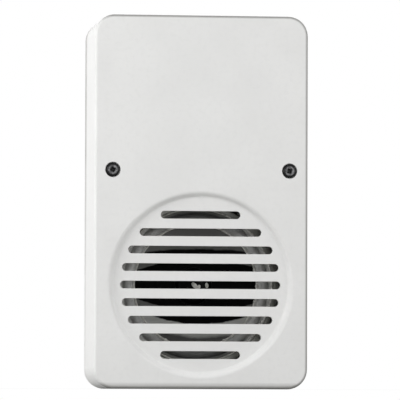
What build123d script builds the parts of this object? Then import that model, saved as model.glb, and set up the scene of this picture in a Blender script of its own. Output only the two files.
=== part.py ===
from build123d import *
import math
import os

# Sizes are in millimetres. Every piece is drawn lying on its back: x runs to the right,
# y runs up the wall and z runs out of the wall, which is the plane z = 0. At the end the
# pieces are stood up, so that the front faces -Y and the wall is the plane Y = 0.

# Case
case_width = 100.0
case_height = 174.0
case_depth = 48.0
case_corner_radius = 9.3
front_edge_radius = 1.5
cover_wall = 2.2
cover_wall_gap = 0.6

# Round dish and its slots
dish_side_margin = 7.2
dish_bottom_margin = 5.6
dish_slope_width = 1.8
dish_depth = 2.4
dish_rim_round = 2.0
dish_floor_round = 1.3
slot_pitch = 8.15
slot_height = 3.65
slot_end_margin = 3.4

# Clearances
overrun = 1.0
turning_clearance = 0.08
fixed_clearance = 0.05
seat_gap = 0.2
case_fit_gap = 0.3

# Cover screws, their bosses and washers
cover_screw_inset = 8.6
cover_screw_over_dish = 10.5
cover_screw_radius = 1.5
cover_screw_length = 18.0
cover_screw_head_radius = 3.25
cover_screw_head_height = 2.2
cover_screw_recess_radius = 3.6
cover_screw_recess_depth = 1.9
cover_boss_radius = 4.6
cover_boss_length = 9.0
cover_boss_web = 1.6
washer_radius = 2.9
washer_thickness = 0.8
post_bore_extra = 2.0

# Base plate
base_thickness = 2.4
rim_height = 7.0
rim_thickness = 1.8
fixing_inset_x = 10.0
fixing_inset_y = 13.0
fixing_slot_width = 4.5
fixing_slot_length = 9.0
stiffener_height = 3.0
stiffener_thickness = 1.2

# Cable hole and grommet
cable_over_speaker = 12.1
cable_hole_radius = 7.0
grommet_bore_radius = 4.5
grommet_flange_radius = 8.8
grommet_back_flange = 0.9
grommet_front_flange = 1.2

# Loudspeaker
speaker_over_slots = 0.9
speaker_depth = 21.9
speaker_back_gap = 0.7
flange_width = 4.0
sheet_thickness = 1.0
yoke_radius = 20.5
yoke_thickness = 2.5
pole_radius = 6.4
magnet_radius = 22.5
magnet_bore_radius = 11.0
magnet_thickness = 5.0
gap_plate_bore_radius = 8.0
basket_neck_radius = 20.5
basket_windows = 6
basket_spoke_width = 8.0
spider_step = 1.0
spider_radius = 18.8
spider_lip = 1.4
spider_cloth = 0.3
spider_waves = 4
spider_wave_height = 0.45
coil_former_radius = 6.8
coil_former_wall = 0.25
coil_former_length = 9.0
coil_thickness = 0.5
coil_length = 5.0
cone_edge_width = 9.1
cone_rim_width = 1.2
cone_paper = 0.5
cone_neck_rise = 1.2
dust_cap_radius = 9.2
dust_cap_height = 3.4
dust_cap_wall = 0.4
surround_roll_radius = 2.1
surround_thickness = 0.4
gasket_width = 1.9
gasket_thickness = 1.2

# Speaker tags
tag_board_width = 16.0
tag_board_reach = 5.0
tag_board_thickness = 1.2
tag_spacing = 8.0
tag_width = 2.6
tag_length = 6.0
tag_thickness = 0.4
tag_eyelet_radius = 1.0
tag_eyelet_height = 0.5

# Speaker posts, clips and their screws
speaker_post_radius = 4.5
speaker_post_offset = 2.6
speaker_posts = 4
speaker_post_first_angle = 45.0
clip_width = 7.0
clip_thickness = 1.2
clip_grip = 1.9
clip_screw_radius = 1.3
clip_screw_length = 12.0
clip_screw_head_radius = 2.7
clip_screw_head_height = 1.7

# Circuit board and what holds it
board_width = 66.0
board_height = 52.0
board_thickness = 1.6
board_top_gap = 10.0
board_standoff = 6.6
standoff_radius = 3.2
standoff_inset = 4.0
board_screw_radius = 1.2
board_screw_length = 6.0
board_screw_head_radius = 2.4
board_screw_head_height = 1.5

# Terminal block
terminal_ways = 4
terminal_pitch = 5.08
terminal_end_wall = 0.5
terminal_depth = 9.0
terminal_height = 10.5
terminal_well_radius = 1.9
terminal_well_depth = 4.0
terminal_screw_radius = 1.75
terminal_screw_height = 3.0
terminal_mouth_width = 3.4
terminal_mouth_height = 3.6
terminal_mouth_depth = 5.0
terminal_mouth_up = 1.4

# Chips
chip_pin_pitch = 2.54
chip_row_spacing = 7.62
chip_body_width = 6.4
chip_body_height = 3.3
chip_pin_width = 0.6
chip_pin_thickness = 0.3
chip_lift = 0.6
chip_notch_radius = 1.0
tune_chip_pins = 8
amplifier_chip_pins = 4
socket_width = 9.6
socket_height = 4.2
socket_window_width = 4.0

# Round parts on the board
reservoir_radius = 6.4
reservoir_height = 20.0
coupling_radius = 5.0
coupling_height = 13.0
small_capacitor_radius = 2.6
small_capacitor_height = 7.0
can_edge_round = 0.6
can_groove_depth = 0.4
can_groove_up = 2.0
can_groove_height = 0.9
rectifier_radius = 4.6
rectifier_height = 5.5
rectifier_lift = 1.0
lead_wire_radius = 0.3
disc_capacitor_radius = 2.6
disc_capacitor_thickness = 1.6
disc_capacitor_lift = 1.2
resistor_radius = 1.15
resistor_length = 6.3
resistor_span = 10.2
resistor_lift = 0.3
transistor_radius = 2.4
transistor_height = 4.8
transistor_lift = 2.4

# Volume trimmer
volume_body_size = 10.0
volume_body_height = 4.4
volume_bore_radius = 1.6
volume_bore_depth = 3.4
volume_knob_radius = 4.3
volume_knob_height = 5.2
volume_knob_flutes = 18
volume_flute_radius = 0.35
volume_slot_width = 1.0
volume_slot_depth = 1.2

# Tune switch
switch_length = 13.0
switch_width = 6.2
switch_height = 5.2
switch_window_length = 7.6
switch_window_width = 2.4
switch_window_depth = 2.6
slider_length = 3.2
slider_height = 5.4
switch_travel = 4.0
slider_clearance = 0.15

# Speaker socket and leads
socket_pin_pitch = 2.5
plug_socket_width = 7.6
plug_socket_depth = 6.0
plug_socket_height = 6.2
plug_width = 6.0
plug_depth = 4.4
plug_height = 6.4
plug_fit = 0.1
plug_wall = 0.7
lead_radius = 0.65
lead_arch = 3.4

# Places on the board, as shares of its half width and half height
terminal_place_shares = (-0.40, -0.70)
plug_place_shares = (0.22, -0.72)
volume_place_shares = (0.66, -0.34)
switch_place_shares = (0.66, 0.24)
tune_chip_place_shares = (-0.06, -0.16)
amplifier_place_shares = (-0.68, -0.10)
rectifier_place_shares = (-0.72, 0.40)
reservoir_place_shares = (-0.34, 0.56)
coupling_place_shares = (0.12, 0.62)
small_capacitor_place_shares = [(-0.44, 0.17), (0.40, -0.42), (0.36, 0.42)]
disc_capacitor_place_shares = [(-0.12, 0.22), (-0.68, -0.37), (0.52, 0.60)]
transistor_place_shares = [(0.40, 0.04), (0.74, 0.60)]
resistor_place_shares = [(-0.10, -0.44), (0.16, 0.24), (0.78, 0.02), (0.62, -0.66), (0.62, -0.82),
                         (-0.50, 0.91), (-0.06, 0.91), (0.36, 0.91)]
resistor_upright_shares = [(-0.92, 0.05), (-0.92, -0.40), (0.94, 0.48)]

# Route of the speaker leads, as shares of its reach and of its arch
lead_reach_shares = (0.28, 0.54, 0.78)
lead_arch_shares = (0.12, 0.70, 1.0)
lead_side_shares = (0.0, 0.35, 0.75)
lead_last_share = 0.92

# Screw heads and cross recesses, as shares of the head
head_side_share = 0.45
recess_arm_share = 1.15
recess_width_share = 0.30
recess_depth_share = 0.50
screw_tip_share = 0.33

# Levels above the wall, worked out from the sizes above
front_inner = case_depth - cover_wall
dish_floor = case_depth - dish_depth
dish_inner = dish_floor - cover_wall
screw_seat = case_depth - cover_screw_recess_depth
boss_end = front_inner - cover_boss_length
cover_post_top = boss_end - seat_gap
yoke_back = base_thickness + speaker_back_gap
yoke_front = yoke_back + yoke_thickness
magnet_front = yoke_front + magnet_thickness
gap_plate_front = magnet_front + yoke_thickness
basket_floor = gap_plate_front + sheet_thickness
spider_seat = basket_floor + spider_step
flange_front = yoke_back + speaker_depth
flange_back = flange_front - sheet_thickness
coil_middle = gap_plate_front - yoke_thickness / 2
former_back = coil_middle - coil_length / 2 - coil_former_wall
cone_neck_back = spider_seat + spider_cloth + cone_neck_rise
clip_top = flange_front + clip_thickness
board_back = base_thickness + board_standoff
board_front = board_back + board_thickness

# Radii and centres, worked out from the sizes above
dish_rim_radius = case_width / 2 - dish_side_margin
dish_radius = dish_rim_radius - dish_slope_width
slot_circle_radius = dish_radius - slot_end_margin
slots_each_side = int((slot_circle_radius - slot_height) / slot_pitch)
speaker_radius = slot_circle_radius + speaker_over_slots
cone_radius = speaker_radius - cone_edge_width
grille_y = -case_height / 2 + dish_bottom_margin + dish_rim_radius
cover_screw_x = case_width / 2 - cover_screw_inset
cover_screw_y = grille_y + dish_rim_radius + cover_screw_over_dish
cable_y = grille_y + speaker_radius + cable_over_speaker
board_y = case_height / 2 - board_top_gap - board_height / 2
fixing_x = case_width / 2 - fixing_inset_x
fixing_y = case_height / 2 - fixing_inset_y
speaker_post_circle = speaker_radius + speaker_post_offset
former_outer = coil_former_radius + coil_former_wall
basket_rim = speaker_radius - flange_width

BASE = (Align.CENTER, Align.CENTER, Align.MIN)


# Plain helpers

def disc(radius, low, high, x=0, y=0):
    """A round bar that stands along z between two levels."""
    return Pos(x, y, low) * Cylinder(radius, high - low, align=BASE)


def tube(outer, inner, low, high, x=0, y=0):
    """A round tube that stands along z between two levels."""
    return disc(outer, low, high, x, y) - disc(inner, low - overrun, high + overrun, x, y)


def block(width, height, low, high, x=0, y=0):
    """A square-edged block centred on x and y between two levels."""
    return Pos(x, y, low) * Box(width, height, high - low, align=BASE)


def plate(width, height, corner, low, high):
    """A block with rounded upright corners, centred on the case."""
    return Pos(0, 0, low) * extrude(RectangleRounded(width, height, corner), high - low)


def turned(edges):
    """A solid turned about z from a closed line in the x, z plane."""
    return revolve(make_face(edges), Axis.Z)


def outline(points):
    """A closed straight-sided line through points given as (radius, level)."""
    return Polyline(*[(radius, 0, level) for radius, level in points], close=True)


def cap_arc(radius, base, top):
    """The arc of a domed top, from its edge up to the axis."""
    rise = top - base
    sphere = (radius ** 2 + rise ** 2) / (2 * rise)
    middle = top - sphere + math.sqrt(sphere ** 2 - (radius / 2) ** 2)
    return ThreePointArc((radius, 0, base), (radius / 2, 0, middle), (0, 0, top))


def domed_disc(radius, base, edge, top):
    """A disc with a straight side and a domed top."""
    side = Polyline((0, 0, top), (0, 0, base), (radius, 0, base), (radius, 0, edge))
    return turned([side, cap_arc(radius, edge, top)])


def edge_rings(shape, radius):
    """The round edges of one radius."""
    slack = radius / 1000
    return [e for e in shape.edges().filter_by(GeomType.CIRCLE) if abs(e.radius - radius) < slack]


def on_board(shares):
    """A place on the board from its shares."""
    return shares[0] * board_width / 2, board_y + shares[1] * board_height / 2


def cross_recess(radius, top):
    """The cross-shaped recess of a screw head, to cut from it."""
    arm = radius * recess_arm_share
    width = radius * recess_width_share
    low = top - radius * recess_depth_share
    bars = block(arm, width, low, top + overrun) + block(width, arm, low, top + overrun)
    return bars


def pan_screw(shank_radius, shank_length, head_radius, head_height, seat):
    """A pan-head screw on the z axis, with its head's seat at a level."""
    top = seat + head_height
    head = domed_disc(head_radius, seat, seat + head_height * head_side_share, top)
    shank = Pos(0, 0, seat - shank_length) * Cylinder(shank_radius, shank_length, align=BASE)
    tip = edge_rings(shank, shank_radius)
    shank = chamfer(min(tip, key=lambda e: e.center().Z), shank_radius * screw_tip_share)
    return head + shank - cross_recess(head_radius, top)


def screw_places():
    """Centres of the two cover screws."""
    return [(-cover_screw_x, cover_screw_y), (cover_screw_x, cover_screw_y)]


def fixing_places():
    """Centres of the four wall fixing slots."""
    return [(sx * fixing_x, sy * fixing_y) for sx in (-1, 1) for sy in (-1, 1)]


def standoff_places():
    """Centres of the four stand-offs that carry the board."""
    reach_x = board_width / 2 - standoff_inset
    reach_y = board_height / 2 - standoff_inset
    return [(sx * reach_x, board_y + sy * reach_y) for sx in (-1, 1) for sy in (-1, 1)]


def speaker_post_angles():
    """Directions of the speaker's posts from its centre."""
    return [speaker_post_first_angle + k * 360 / speaker_posts for k in range(speaker_posts)]


def at_speaker_post(shape, angle):
    """Moves a shape drawn about the origin, with x outwards, to a speaker post."""
    return Pos(0, grille_y, 0) * Rot(0, 0, angle) * Pos(speaker_post_circle, 0, 0) * shape


def at_speaker(shape):
    """Moves a shape drawn about the origin to the speaker's axis."""
    return Pos(0, grille_y, 0) * shape


# Case pieces

def make_front_cover():
    """The moulded cover: walls, dish, slots and two screw bosses."""
    shell = plate(case_width, case_height, case_corner_radius, cover_wall_gap, case_depth)
    shell = fillet(shell.faces().sort_by(Axis.Z)[-1].edges(), front_edge_radius)
    slope = [(0, dish_floor), (dish_radius, dish_floor), (dish_rim_radius, case_depth), (0, case_depth)]
    shell -= at_speaker(turned(outline(slope)))
    shell = fillet(edge_rings(shell, dish_rim_radius), dish_rim_round)
    shell = fillet(edge_rings(shell, dish_radius), dish_floor_round)
    inner_corner = case_corner_radius - cover_wall
    inner_width = case_width - 2 * cover_wall
    inner_height = case_height - 2 * cover_wall
    hollow = plate(inner_width, inner_height, inner_corner, cover_wall_gap - overrun, front_inner)
    backing = at_speaker(disc(dish_rim_radius + cover_wall, dish_inner, front_inner + overrun))
    shell -= hollow - backing
    for x, y in screw_places():
        web_width = cover_screw_inset - cover_wall / 2
        web_x = x + math.copysign(web_width / 2, x)
        shell += disc(cover_boss_radius, boss_end, front_inner, x, y)
        shell += block(web_width, cover_boss_web, boss_end, front_inner, web_x, y)
    for x, y in screw_places():
        bore = cover_screw_radius + turning_clearance
        shell -= disc(bore, boss_end - overrun, case_depth + overrun, x, y)
        shell -= disc(cover_screw_recess_radius, screw_seat, case_depth + overrun, x, y)
        washer_seat = boss_end + washer_thickness + seat_gap
        shell -= disc(washer_radius + fixed_clearance, boss_end - overrun, washer_seat, x, y)
    for k in range(-slots_each_side, slots_each_side + 1):
        half = math.sqrt(slot_circle_radius ** 2 - (k * slot_pitch) ** 2)
        slot = extrude(SlotOverall(2 * half, slot_height), dish_floor - dish_inner + 2 * overrun)
        shell -= Pos(0, grille_y + k * slot_pitch, dish_inner - overrun) * slot
    return shell


def make_cover_screw(x, y):
    """One black pan-head screw that holds the cover."""
    screw = pan_screw(cover_screw_radius, cover_screw_length, cover_screw_head_radius,
                      cover_screw_head_height, screw_seat)
    return Pos(x, y, 0) * screw


def make_cover_screw_washers():
    """Fibre washers that keep the screws in the cover."""
    bore = cover_screw_radius + turning_clearance
    low = boss_end + seat_gap
    return Compound([tube(washer_radius, bore, low, low + washer_thickness, x, y) for x, y in screw_places()])


def make_base_plate():
    """The wall plate: rim, posts, stand-offs, fixing slots and cable hole."""
    inset = 2 * (cover_wall + case_fit_gap)
    width = case_width - inset
    height = case_height - inset
    corner = case_corner_radius - cover_wall - case_fit_gap
    base = plate(width, height, corner, 0, rim_height)
    hollow_corner = corner - rim_thickness
    base -= plate(width - 2 * rim_thickness, height - 2 * rim_thickness, hollow_corner,
                  base_thickness, rim_height + overrun)
    stiffener_top = base_thickness + stiffener_height
    for x, y in screw_places():
        gusset = x + math.copysign(cover_boss_radius / 2, x)
        base += disc(cover_boss_radius, base_thickness - overrun, cover_post_top, x, y)
        base += block(cover_boss_radius, stiffener_thickness, base_thickness - overrun, rim_height, gusset, y)
    link_y = cover_screw_y - cover_boss_radius / 2
    for side in (-1, 1):
        link_length = cover_screw_x - grommet_flange_radius - stiffener_height
        link_x = side * (cover_screw_x - link_length / 2)
        base += block(link_length, stiffener_thickness, base_thickness - overrun, stiffener_top,
                      link_x, link_y)
    for x, y in standoff_places():
        base += disc(standoff_radius, base_thickness - overrun, board_back, x, y)
    for angle in speaker_post_angles():
        base += at_speaker_post(disc(speaker_post_radius, base_thickness - overrun, flange_back), angle)
    for x, y in screw_places():
        bore = cover_screw_radius + turning_clearance
        bore_end = screw_seat - cover_screw_length - post_bore_extra
        base -= disc(bore, bore_end, cover_post_top + overrun, x, y)
    for x, y in standoff_places():
        bore = board_screw_radius + fixed_clearance
        base -= disc(bore, board_front - board_screw_length - fixed_clearance, board_back + overrun, x, y)
    for angle in speaker_post_angles():
        bore = clip_screw_radius + fixed_clearance
        bore_end = clip_top - clip_screw_length - fixed_clearance
        base -= at_speaker_post(disc(bore, bore_end, flange_back + overrun), angle)
    for x, y in fixing_places():
        slot = extrude(SlotOverall(fixing_slot_length, fixing_slot_width), base_thickness + 2 * overrun)
        base -= Pos(x, y, -overrun) * slot
    base -= disc(cable_hole_radius, -overrun, base_thickness + overrun, 0, cable_y)
    recess = grommet_flange_radius + seat_gap
    base -= disc(recess, -overrun, grommet_back_flange + fixed_clearance, 0, cable_y)
    return base


def make_cable_grommet():
    """The rubber ring that lines the cable hole."""
    back = fixed_clearance
    waist_low = grommet_back_flange + fixed_clearance
    front = base_thickness + grommet_front_flange
    ring = disc(grommet_flange_radius, back, waist_low)
    ring += disc(cable_hole_radius, waist_low, base_thickness)
    ring += disc(grommet_flange_radius, base_thickness, front)
    ring = fillet(ring.faces().sort_by(Axis.Z)[-1].edges(), grommet_front_flange / 2)
    ring -= disc(grommet_bore_radius, -overrun, front + overrun)
    return Pos(0, cable_y, 0) * ring


# Loudspeaker pieces

def make_speaker_basket():
    """The pressed steel frame: flange, sloping wall with windows, and floor."""
    neck_back = gap_plate_front
    step_out = spider_radius + sheet_thickness / 2
    step_in = spider_radius - spider_lip
    slope = (flange_back - basket_floor) / (basket_rim - basket_neck_radius)
    shift = sheet_thickness * (1 + slope) / 2
    profile = [
        (speaker_radius, flange_back), (speaker_radius, flange_front), (basket_rim, flange_front),
        (basket_neck_radius, basket_floor), (step_out, basket_floor), (step_out, spider_seat),
        (step_in, spider_seat), (step_in, basket_floor), (gap_plate_bore_radius, basket_floor),
        (gap_plate_bore_radius, neck_back), (basket_neck_radius + shift, neck_back),
        (basket_rim + shift, flange_back)]
    basket = turned(outline(profile))
    window_out = basket_rim - sheet_thickness
    window_in = basket_neck_radius + 2 * sheet_thickness
    windows = tube(window_out, window_in, neck_back - overrun, flange_back)
    for k in range(basket_windows):
        spoke = block(basket_spoke_width, 2 * speaker_radius, neck_back - 2 * overrun, flange_front, 0, 0)
        half_turn = 180 / basket_windows
        if k % 2 == 0:
            windows -= Rot(0, 0, k * half_turn) * spoke
    return at_speaker(basket - windows)


def make_speaker_gasket():
    """The grey ring that finishes the speaker's rim."""
    low = flange_front + surround_thickness
    outer = speaker_radius - clip_grip - fixed_clearance
    return at_speaker(tube(outer, outer - gasket_width, low, low + gasket_thickness))


def make_cone_surround():
    """The compliant half roll between the cone and the frame."""
    level = flange_front
    outer_lip = speaker_radius - clip_grip - fixed_clearance
    roll_middle = (cone_radius + outer_lip - gasket_width) / 2
    roll_outer = min(surround_roll_radius, roll_middle - cone_radius) + surround_thickness / 2
    roll_inner = roll_outer - surround_thickness
    over = ThreePointArc((roll_middle - roll_outer, 0, level), (roll_middle, 0, level + roll_outer),
                         (roll_middle + roll_outer, 0, level))
    under = ThreePointArc((roll_middle + roll_inner, 0, level), (roll_middle, 0, level + roll_inner),
                          (roll_middle - roll_inner, 0, level))
    outer_foot = Line((roll_middle + roll_outer, 0, level), (roll_middle + roll_inner, 0, level))
    inner_foot = Line((roll_middle - roll_inner, 0, level), (roll_middle - roll_outer, 0, level))
    ring = turned([over, outer_foot, under, inner_foot])
    lip_top = level + surround_thickness
    ring += tube(outer_lip, roll_middle + roll_inner, level, lip_top)
    ring += tube(roll_middle - roll_inner, cone_radius - cone_rim_width, level, lip_top)
    return at_speaker(ring)


def cone_level(radius):
    """The level of the cone's front face at a radius."""
    inner = former_outer
    outer = cone_radius - cone_rim_width
    share = (radius - inner) / (outer - inner)
    return cone_neck_back + cone_paper + share * (flange_front - cone_neck_back - cone_paper)


def make_speaker_cone():
    """The paper cone, with a flat rim for the surround."""
    rim_in = cone_radius - cone_rim_width
    profile = [
        (former_outer, cone_neck_back), (former_outer, cone_level(former_outer)), (rim_in, flange_front),
        (cone_radius, flange_front), (cone_radius, flange_front - cone_paper),
        (rim_in, flange_front - cone_paper)]
    return at_speaker(turned(outline(profile)))


def make_dust_cap():
    """The glossy dome in the middle of the cone."""
    base = cone_level(dust_cap_radius)
    top = base + dust_cap_height
    inner_radius = dust_cap_radius - dust_cap_wall
    outer = cap_arc(dust_cap_radius, base, top)
    inner = cap_arc(inner_radius, base, top - dust_cap_wall)
    foot = Line((dust_cap_radius, 0, base), (inner_radius, 0, base))
    crown = Line((0, 0, top - dust_cap_wall), (0, 0, top))
    return at_speaker(turned([outer, foot, inner, crown]))


def make_voice_coil_former():
    """The thin tube that carries the coil and the cone."""
    return at_speaker(tube(former_outer, coil_former_radius, former_back, former_back + coil_former_length))


def make_voice_coil():
    """The wound coil on its former, in the magnet's gap."""
    low = coil_middle - coil_length / 2
    return at_speaker(tube(former_outer + coil_thickness, former_outer, low, low + coil_length))


def make_spider():
    """The corrugated cloth disc that centres the coil."""
    inner = former_outer + fixed_clearance
    waves_out = spider_radius - spider_lip
    steps = 2 * spider_waves
    rise = [spider_wave_height * (k % 2) for k in range(steps + 1)]
    waves_in = inner + sheet_thickness
    reach = [waves_in + (waves_out - waves_in) * k / steps for k in range(steps + 1)]
    low = [(inner, spider_seat)] + [(r, spider_seat + z) for r, z in zip(reach, rise)]
    low += [(spider_radius, spider_seat)]
    high = [(r, z + spider_cloth) for r, z in reversed(low)]
    return at_speaker(turned(outline(low + high)))


def make_speaker_magnet():
    """The ferrite ring."""
    return at_speaker(tube(magnet_radius, magnet_bore_radius, yoke_front, magnet_front))


def make_magnet_front_plate():
    """The steel ring in front of the magnet."""
    return at_speaker(tube(yoke_radius, gap_plate_bore_radius, magnet_front, gap_plate_front))


def make_magnet_yoke():
    """The steel back plate with its pole."""
    yoke = disc(yoke_radius, yoke_back, yoke_front) + disc(pole_radius, yoke_front - overrun, gap_plate_front)
    return at_speaker(yoke)


def make_speaker_tag_board():
    """The insulating strip behind the flange that carries the tags."""
    length = flange_width / 2 + tag_board_reach
    y = speaker_radius + tag_board_reach - length / 2
    strip = block(tag_board_width, length, flange_back - tag_board_thickness, flange_back, 0, y)
    strip = fillet(strip.edges().filter_by(Axis.Z), tag_board_thickness)
    return at_speaker(strip)


def make_speaker_tags():
    """Two tinned solder tags with their eyelets."""
    tags = []
    y = speaker_radius + tag_board_reach / 2
    for side in (-1, 1):
        x = side * tag_spacing / 2
        low = flange_back
        tag_y = y + tag_length / 2 - tag_width / 2
        tag = block(tag_width, tag_length, low, low + tag_thickness, x, tag_y)
        tag += disc(tag_eyelet_radius, low, low + tag_thickness + tag_eyelet_height, x, y)
        tags.append(at_speaker(tag))
    return Compound(tags)


def make_speaker_clips():
    """Four steel clips that press the flange onto its posts."""
    clips = []
    grip_in = -speaker_post_offset - clip_grip
    for angle in speaker_post_angles():
        top_length = speaker_post_radius - grip_in
        top = block(top_length, clip_width, flange_front, clip_top, grip_in + top_length / 2, 0)
        foot_in = -speaker_post_offset + seat_gap
        foot_length = speaker_post_radius - foot_in
        foot = block(foot_length, clip_width, flange_back, flange_front, foot_in + foot_length / 2, 0)
        bore = disc(clip_screw_radius + fixed_clearance, flange_back - overrun, clip_top + overrun)
        clip = top + foot - bore
        clips.append(at_speaker_post(clip, angle))
    return Compound(clips)


def make_speaker_clip_screws():
    """The screws of the speaker's clips."""
    screw = pan_screw(clip_screw_radius, clip_screw_length, clip_screw_head_radius,
                      clip_screw_head_height, clip_top)
    return Compound([at_speaker_post(screw, angle) for angle in speaker_post_angles()])


# Board and what is on it

def make_circuit_board():
    """The printed circuit board with its four screw holes."""
    board = block(board_width, board_height, board_back, board_front, 0, board_y)
    board = fillet(board.edges().filter_by(Axis.Z), board_thickness)
    for x, y in standoff_places():
        board -= disc(board_screw_radius + fixed_clearance, board_back - overrun, board_front + overrun, x, y)
    return board


def make_board_screws():
    """The four screws of the board."""
    screw = pan_screw(board_screw_radius, board_screw_length, board_screw_head_radius,
                      board_screw_head_height, board_front)
    return Compound([Pos(x, y, 0) * screw for x, y in standoff_places()])


def terminal_columns():
    """The x places of the terminal block's ways."""
    x, _ = on_board(terminal_place_shares)
    return [x + (k - (terminal_ways - 1) / 2) * terminal_pitch for k in range(terminal_ways)]


def make_terminal_block():
    """The four-way screw terminal block, open towards the cable hole."""
    x, y = on_board(terminal_place_shares)
    width = terminal_ways * terminal_pitch + 2 * terminal_end_wall
    top = board_front + terminal_height
    body = block(width, terminal_depth, board_front, top, x, y)
    body = chamfer(body.edges().filter_by(Axis.X).sort_by(Axis.Z)[-2:], terminal_end_wall * 2)
    mouth_low = board_front + terminal_mouth_up
    mouth_y = y - terminal_depth / 2
    for column in terminal_columns():
        body -= disc(terminal_well_radius, top - terminal_well_depth, top + overrun, column, y)
        body -= block(terminal_mouth_width, 2 * terminal_mouth_depth, mouth_low,
                      mouth_low + terminal_mouth_height, column, mouth_y)
    return body


def make_terminal_screws():
    """The clamp screws in the terminal block's wells."""
    _, y = on_board(terminal_place_shares)
    low = board_front + terminal_height - terminal_well_depth
    top = low + terminal_screw_height
    screws = []
    for column in terminal_columns():
        screw = disc(terminal_screw_radius, low, top, column, y)
        slot = block(2 * terminal_screw_radius, terminal_screw_radius / 3, top - terminal_screw_radius / 2,
                     top + overrun, column, y)
        screws.append(screw - slot)
    return Compound(screws)


def chip_legs(pins, low, bend):
    """Two rows of flat legs, from the board up to the body's middle."""
    legs = []
    for k in range(pins):
        x = (k - (pins - 1) / 2) * chip_pin_pitch
        for side in (-1, 1):
            y = side * chip_row_spacing / 2
            leg = block(chip_pin_width, chip_pin_thickness, low, bend + chip_pin_thickness, x, y)
            shoulder_length = (chip_row_spacing - chip_body_width) / 2 + chip_pin_thickness
            shoulder_y = side * (chip_row_spacing / 2 + chip_pin_thickness / 2 - shoulder_length / 2)
            leg += block(chip_pin_width, shoulder_length, bend, bend + chip_pin_thickness, x, shoulder_y)
            legs.append(leg)
    return legs


def make_chip(pins, low):
    """A moulded chip lying along x, standing at a level."""
    body_low = low + chip_lift
    body_top = body_low + chip_body_height
    length = pins * chip_pin_pitch - chip_pin_width
    body = block(length, chip_body_width, body_low, body_top)
    body -= disc(chip_notch_radius, body_top - chip_notch_radius / 2, body_top + overrun, -length / 2, 0)
    for leg in chip_legs(pins, low, body_low + chip_body_height / 2):
        body += leg
    return body


def make_tune_chip():
    """The tune generator chip in its socket."""
    x, y = on_board(tune_chip_place_shares)
    return Pos(x, y, 0) * make_chip(tune_chip_pins, board_front + socket_height)


def make_chip_socket():
    """The open-frame socket under the tune chip."""
    x, y = on_board(tune_chip_place_shares)
    length = tune_chip_pins * chip_pin_pitch
    top = board_front + socket_height
    frame = block(length, socket_width, board_front, top, x, y)
    for side in (-1, 1):
        window_length = length / 2 - chip_pin_pitch * 3 / 2
        window_x = x + side * (window_length + chip_pin_pitch) / 2
        frame -= block(window_length, socket_window_width, board_front - overrun, top + overrun, window_x, y)
    return frame


def make_amplifier_chip():
    """The small audio amplifier chip."""
    x, y = on_board(amplifier_place_shares)
    return Pos(x, y, 0) * make_chip(amplifier_chip_pins, board_front)


def make_can(radius, height):
    """A round capacitor can with its crimped groove and rounded top."""
    can = disc(radius, board_front, board_front + height)
    can = fillet(edge_rings(can, radius), can_edge_round)
    groove_low = board_front + can_groove_up
    groove = tube(radius + overrun, radius - can_groove_depth, groove_low, groove_low + can_groove_height)
    return can - groove


def make_reservoir_capacitor():
    """The large smoothing capacitor."""
    x, y = on_board(reservoir_place_shares)
    return Pos(x, y, 0) * make_can(reservoir_radius, reservoir_height)


def make_coupling_capacitor():
    """The capacitor between the amplifier and the speaker."""
    x, y = on_board(coupling_place_shares)
    return Pos(x, y, 0) * make_can(coupling_radius, coupling_height)


def make_small_capacitors():
    """The small electrolytic capacitors."""
    cans = []
    for shares in small_capacitor_place_shares:
        x, y = on_board(shares)
        cans.append(Pos(x, y, 0) * make_can(small_capacitor_radius, small_capacitor_height))
    return Compound(cans)


def legs_under(body, spots, level):
    """Adds upright lead wires under a body at the given spots."""
    for x, y in spots:
        body += disc(lead_wire_radius, board_front, level, x, y)
    return body


def make_bridge_rectifier():
    """The round bridge rectifier on its four leads."""
    x, y = on_board(rectifier_place_shares)
    low = board_front + rectifier_lift
    body = disc(rectifier_radius, low, low + rectifier_height)
    body = fillet(body.faces().sort_by(Axis.Z)[-1].edges(), can_edge_round)
    reach = rectifier_radius / 2
    spots = [(sx * reach, sy * reach) for sx in (-1, 1) for sy in (-1, 1)]
    return Pos(x, y, 0) * legs_under(body, spots, low + overrun)


def make_disc_capacitors():
    """Ceramic disc capacitors, each on two leads."""
    discs = []
    middle = board_front + disc_capacitor_lift + disc_capacitor_radius
    for shares in disc_capacitor_place_shares:
        x, y = on_board(shares)
        coin = Cylinder(disc_capacitor_radius, disc_capacitor_thickness)
        coin = fillet(coin.edges().filter_by(GeomType.CIRCLE), disc_capacitor_thickness / 3)
        body = Pos(0, 0, middle) * Rot(90, 0, 0) * coin
        reach = disc_capacitor_radius / 2
        discs.append(Pos(x, y, 0) * legs_under(body, [(-reach, 0), (reach, 0)], middle))
    return Compound(discs)


def make_resistor():
    """One axial resistor lying along x over the origin, with its bent leads."""
    middle = board_front + resistor_lift + resistor_radius
    bar = Cylinder(resistor_radius, resistor_length)
    bar = fillet(bar.edges().filter_by(GeomType.CIRCLE), resistor_radius / 3)
    lead = Cylinder(lead_wire_radius, resistor_span)
    body = Pos(0, 0, middle) * Rot(0, 90, 0) * (bar + lead)
    reach = resistor_span / 2 - lead_wire_radius
    return legs_under(body, [(-reach, 0), (reach, 0)], middle)


def make_resistors():
    """The resistors, some across the board and some up it."""
    resistors = []
    for turn, places in ((0, resistor_place_shares), (90, resistor_upright_shares)):
        for shares in places:
            x, y = on_board(shares)
            resistors.append(Pos(x, y, 0) * Rot(0, 0, turn) * make_resistor())
    return Compound(resistors)


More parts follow.
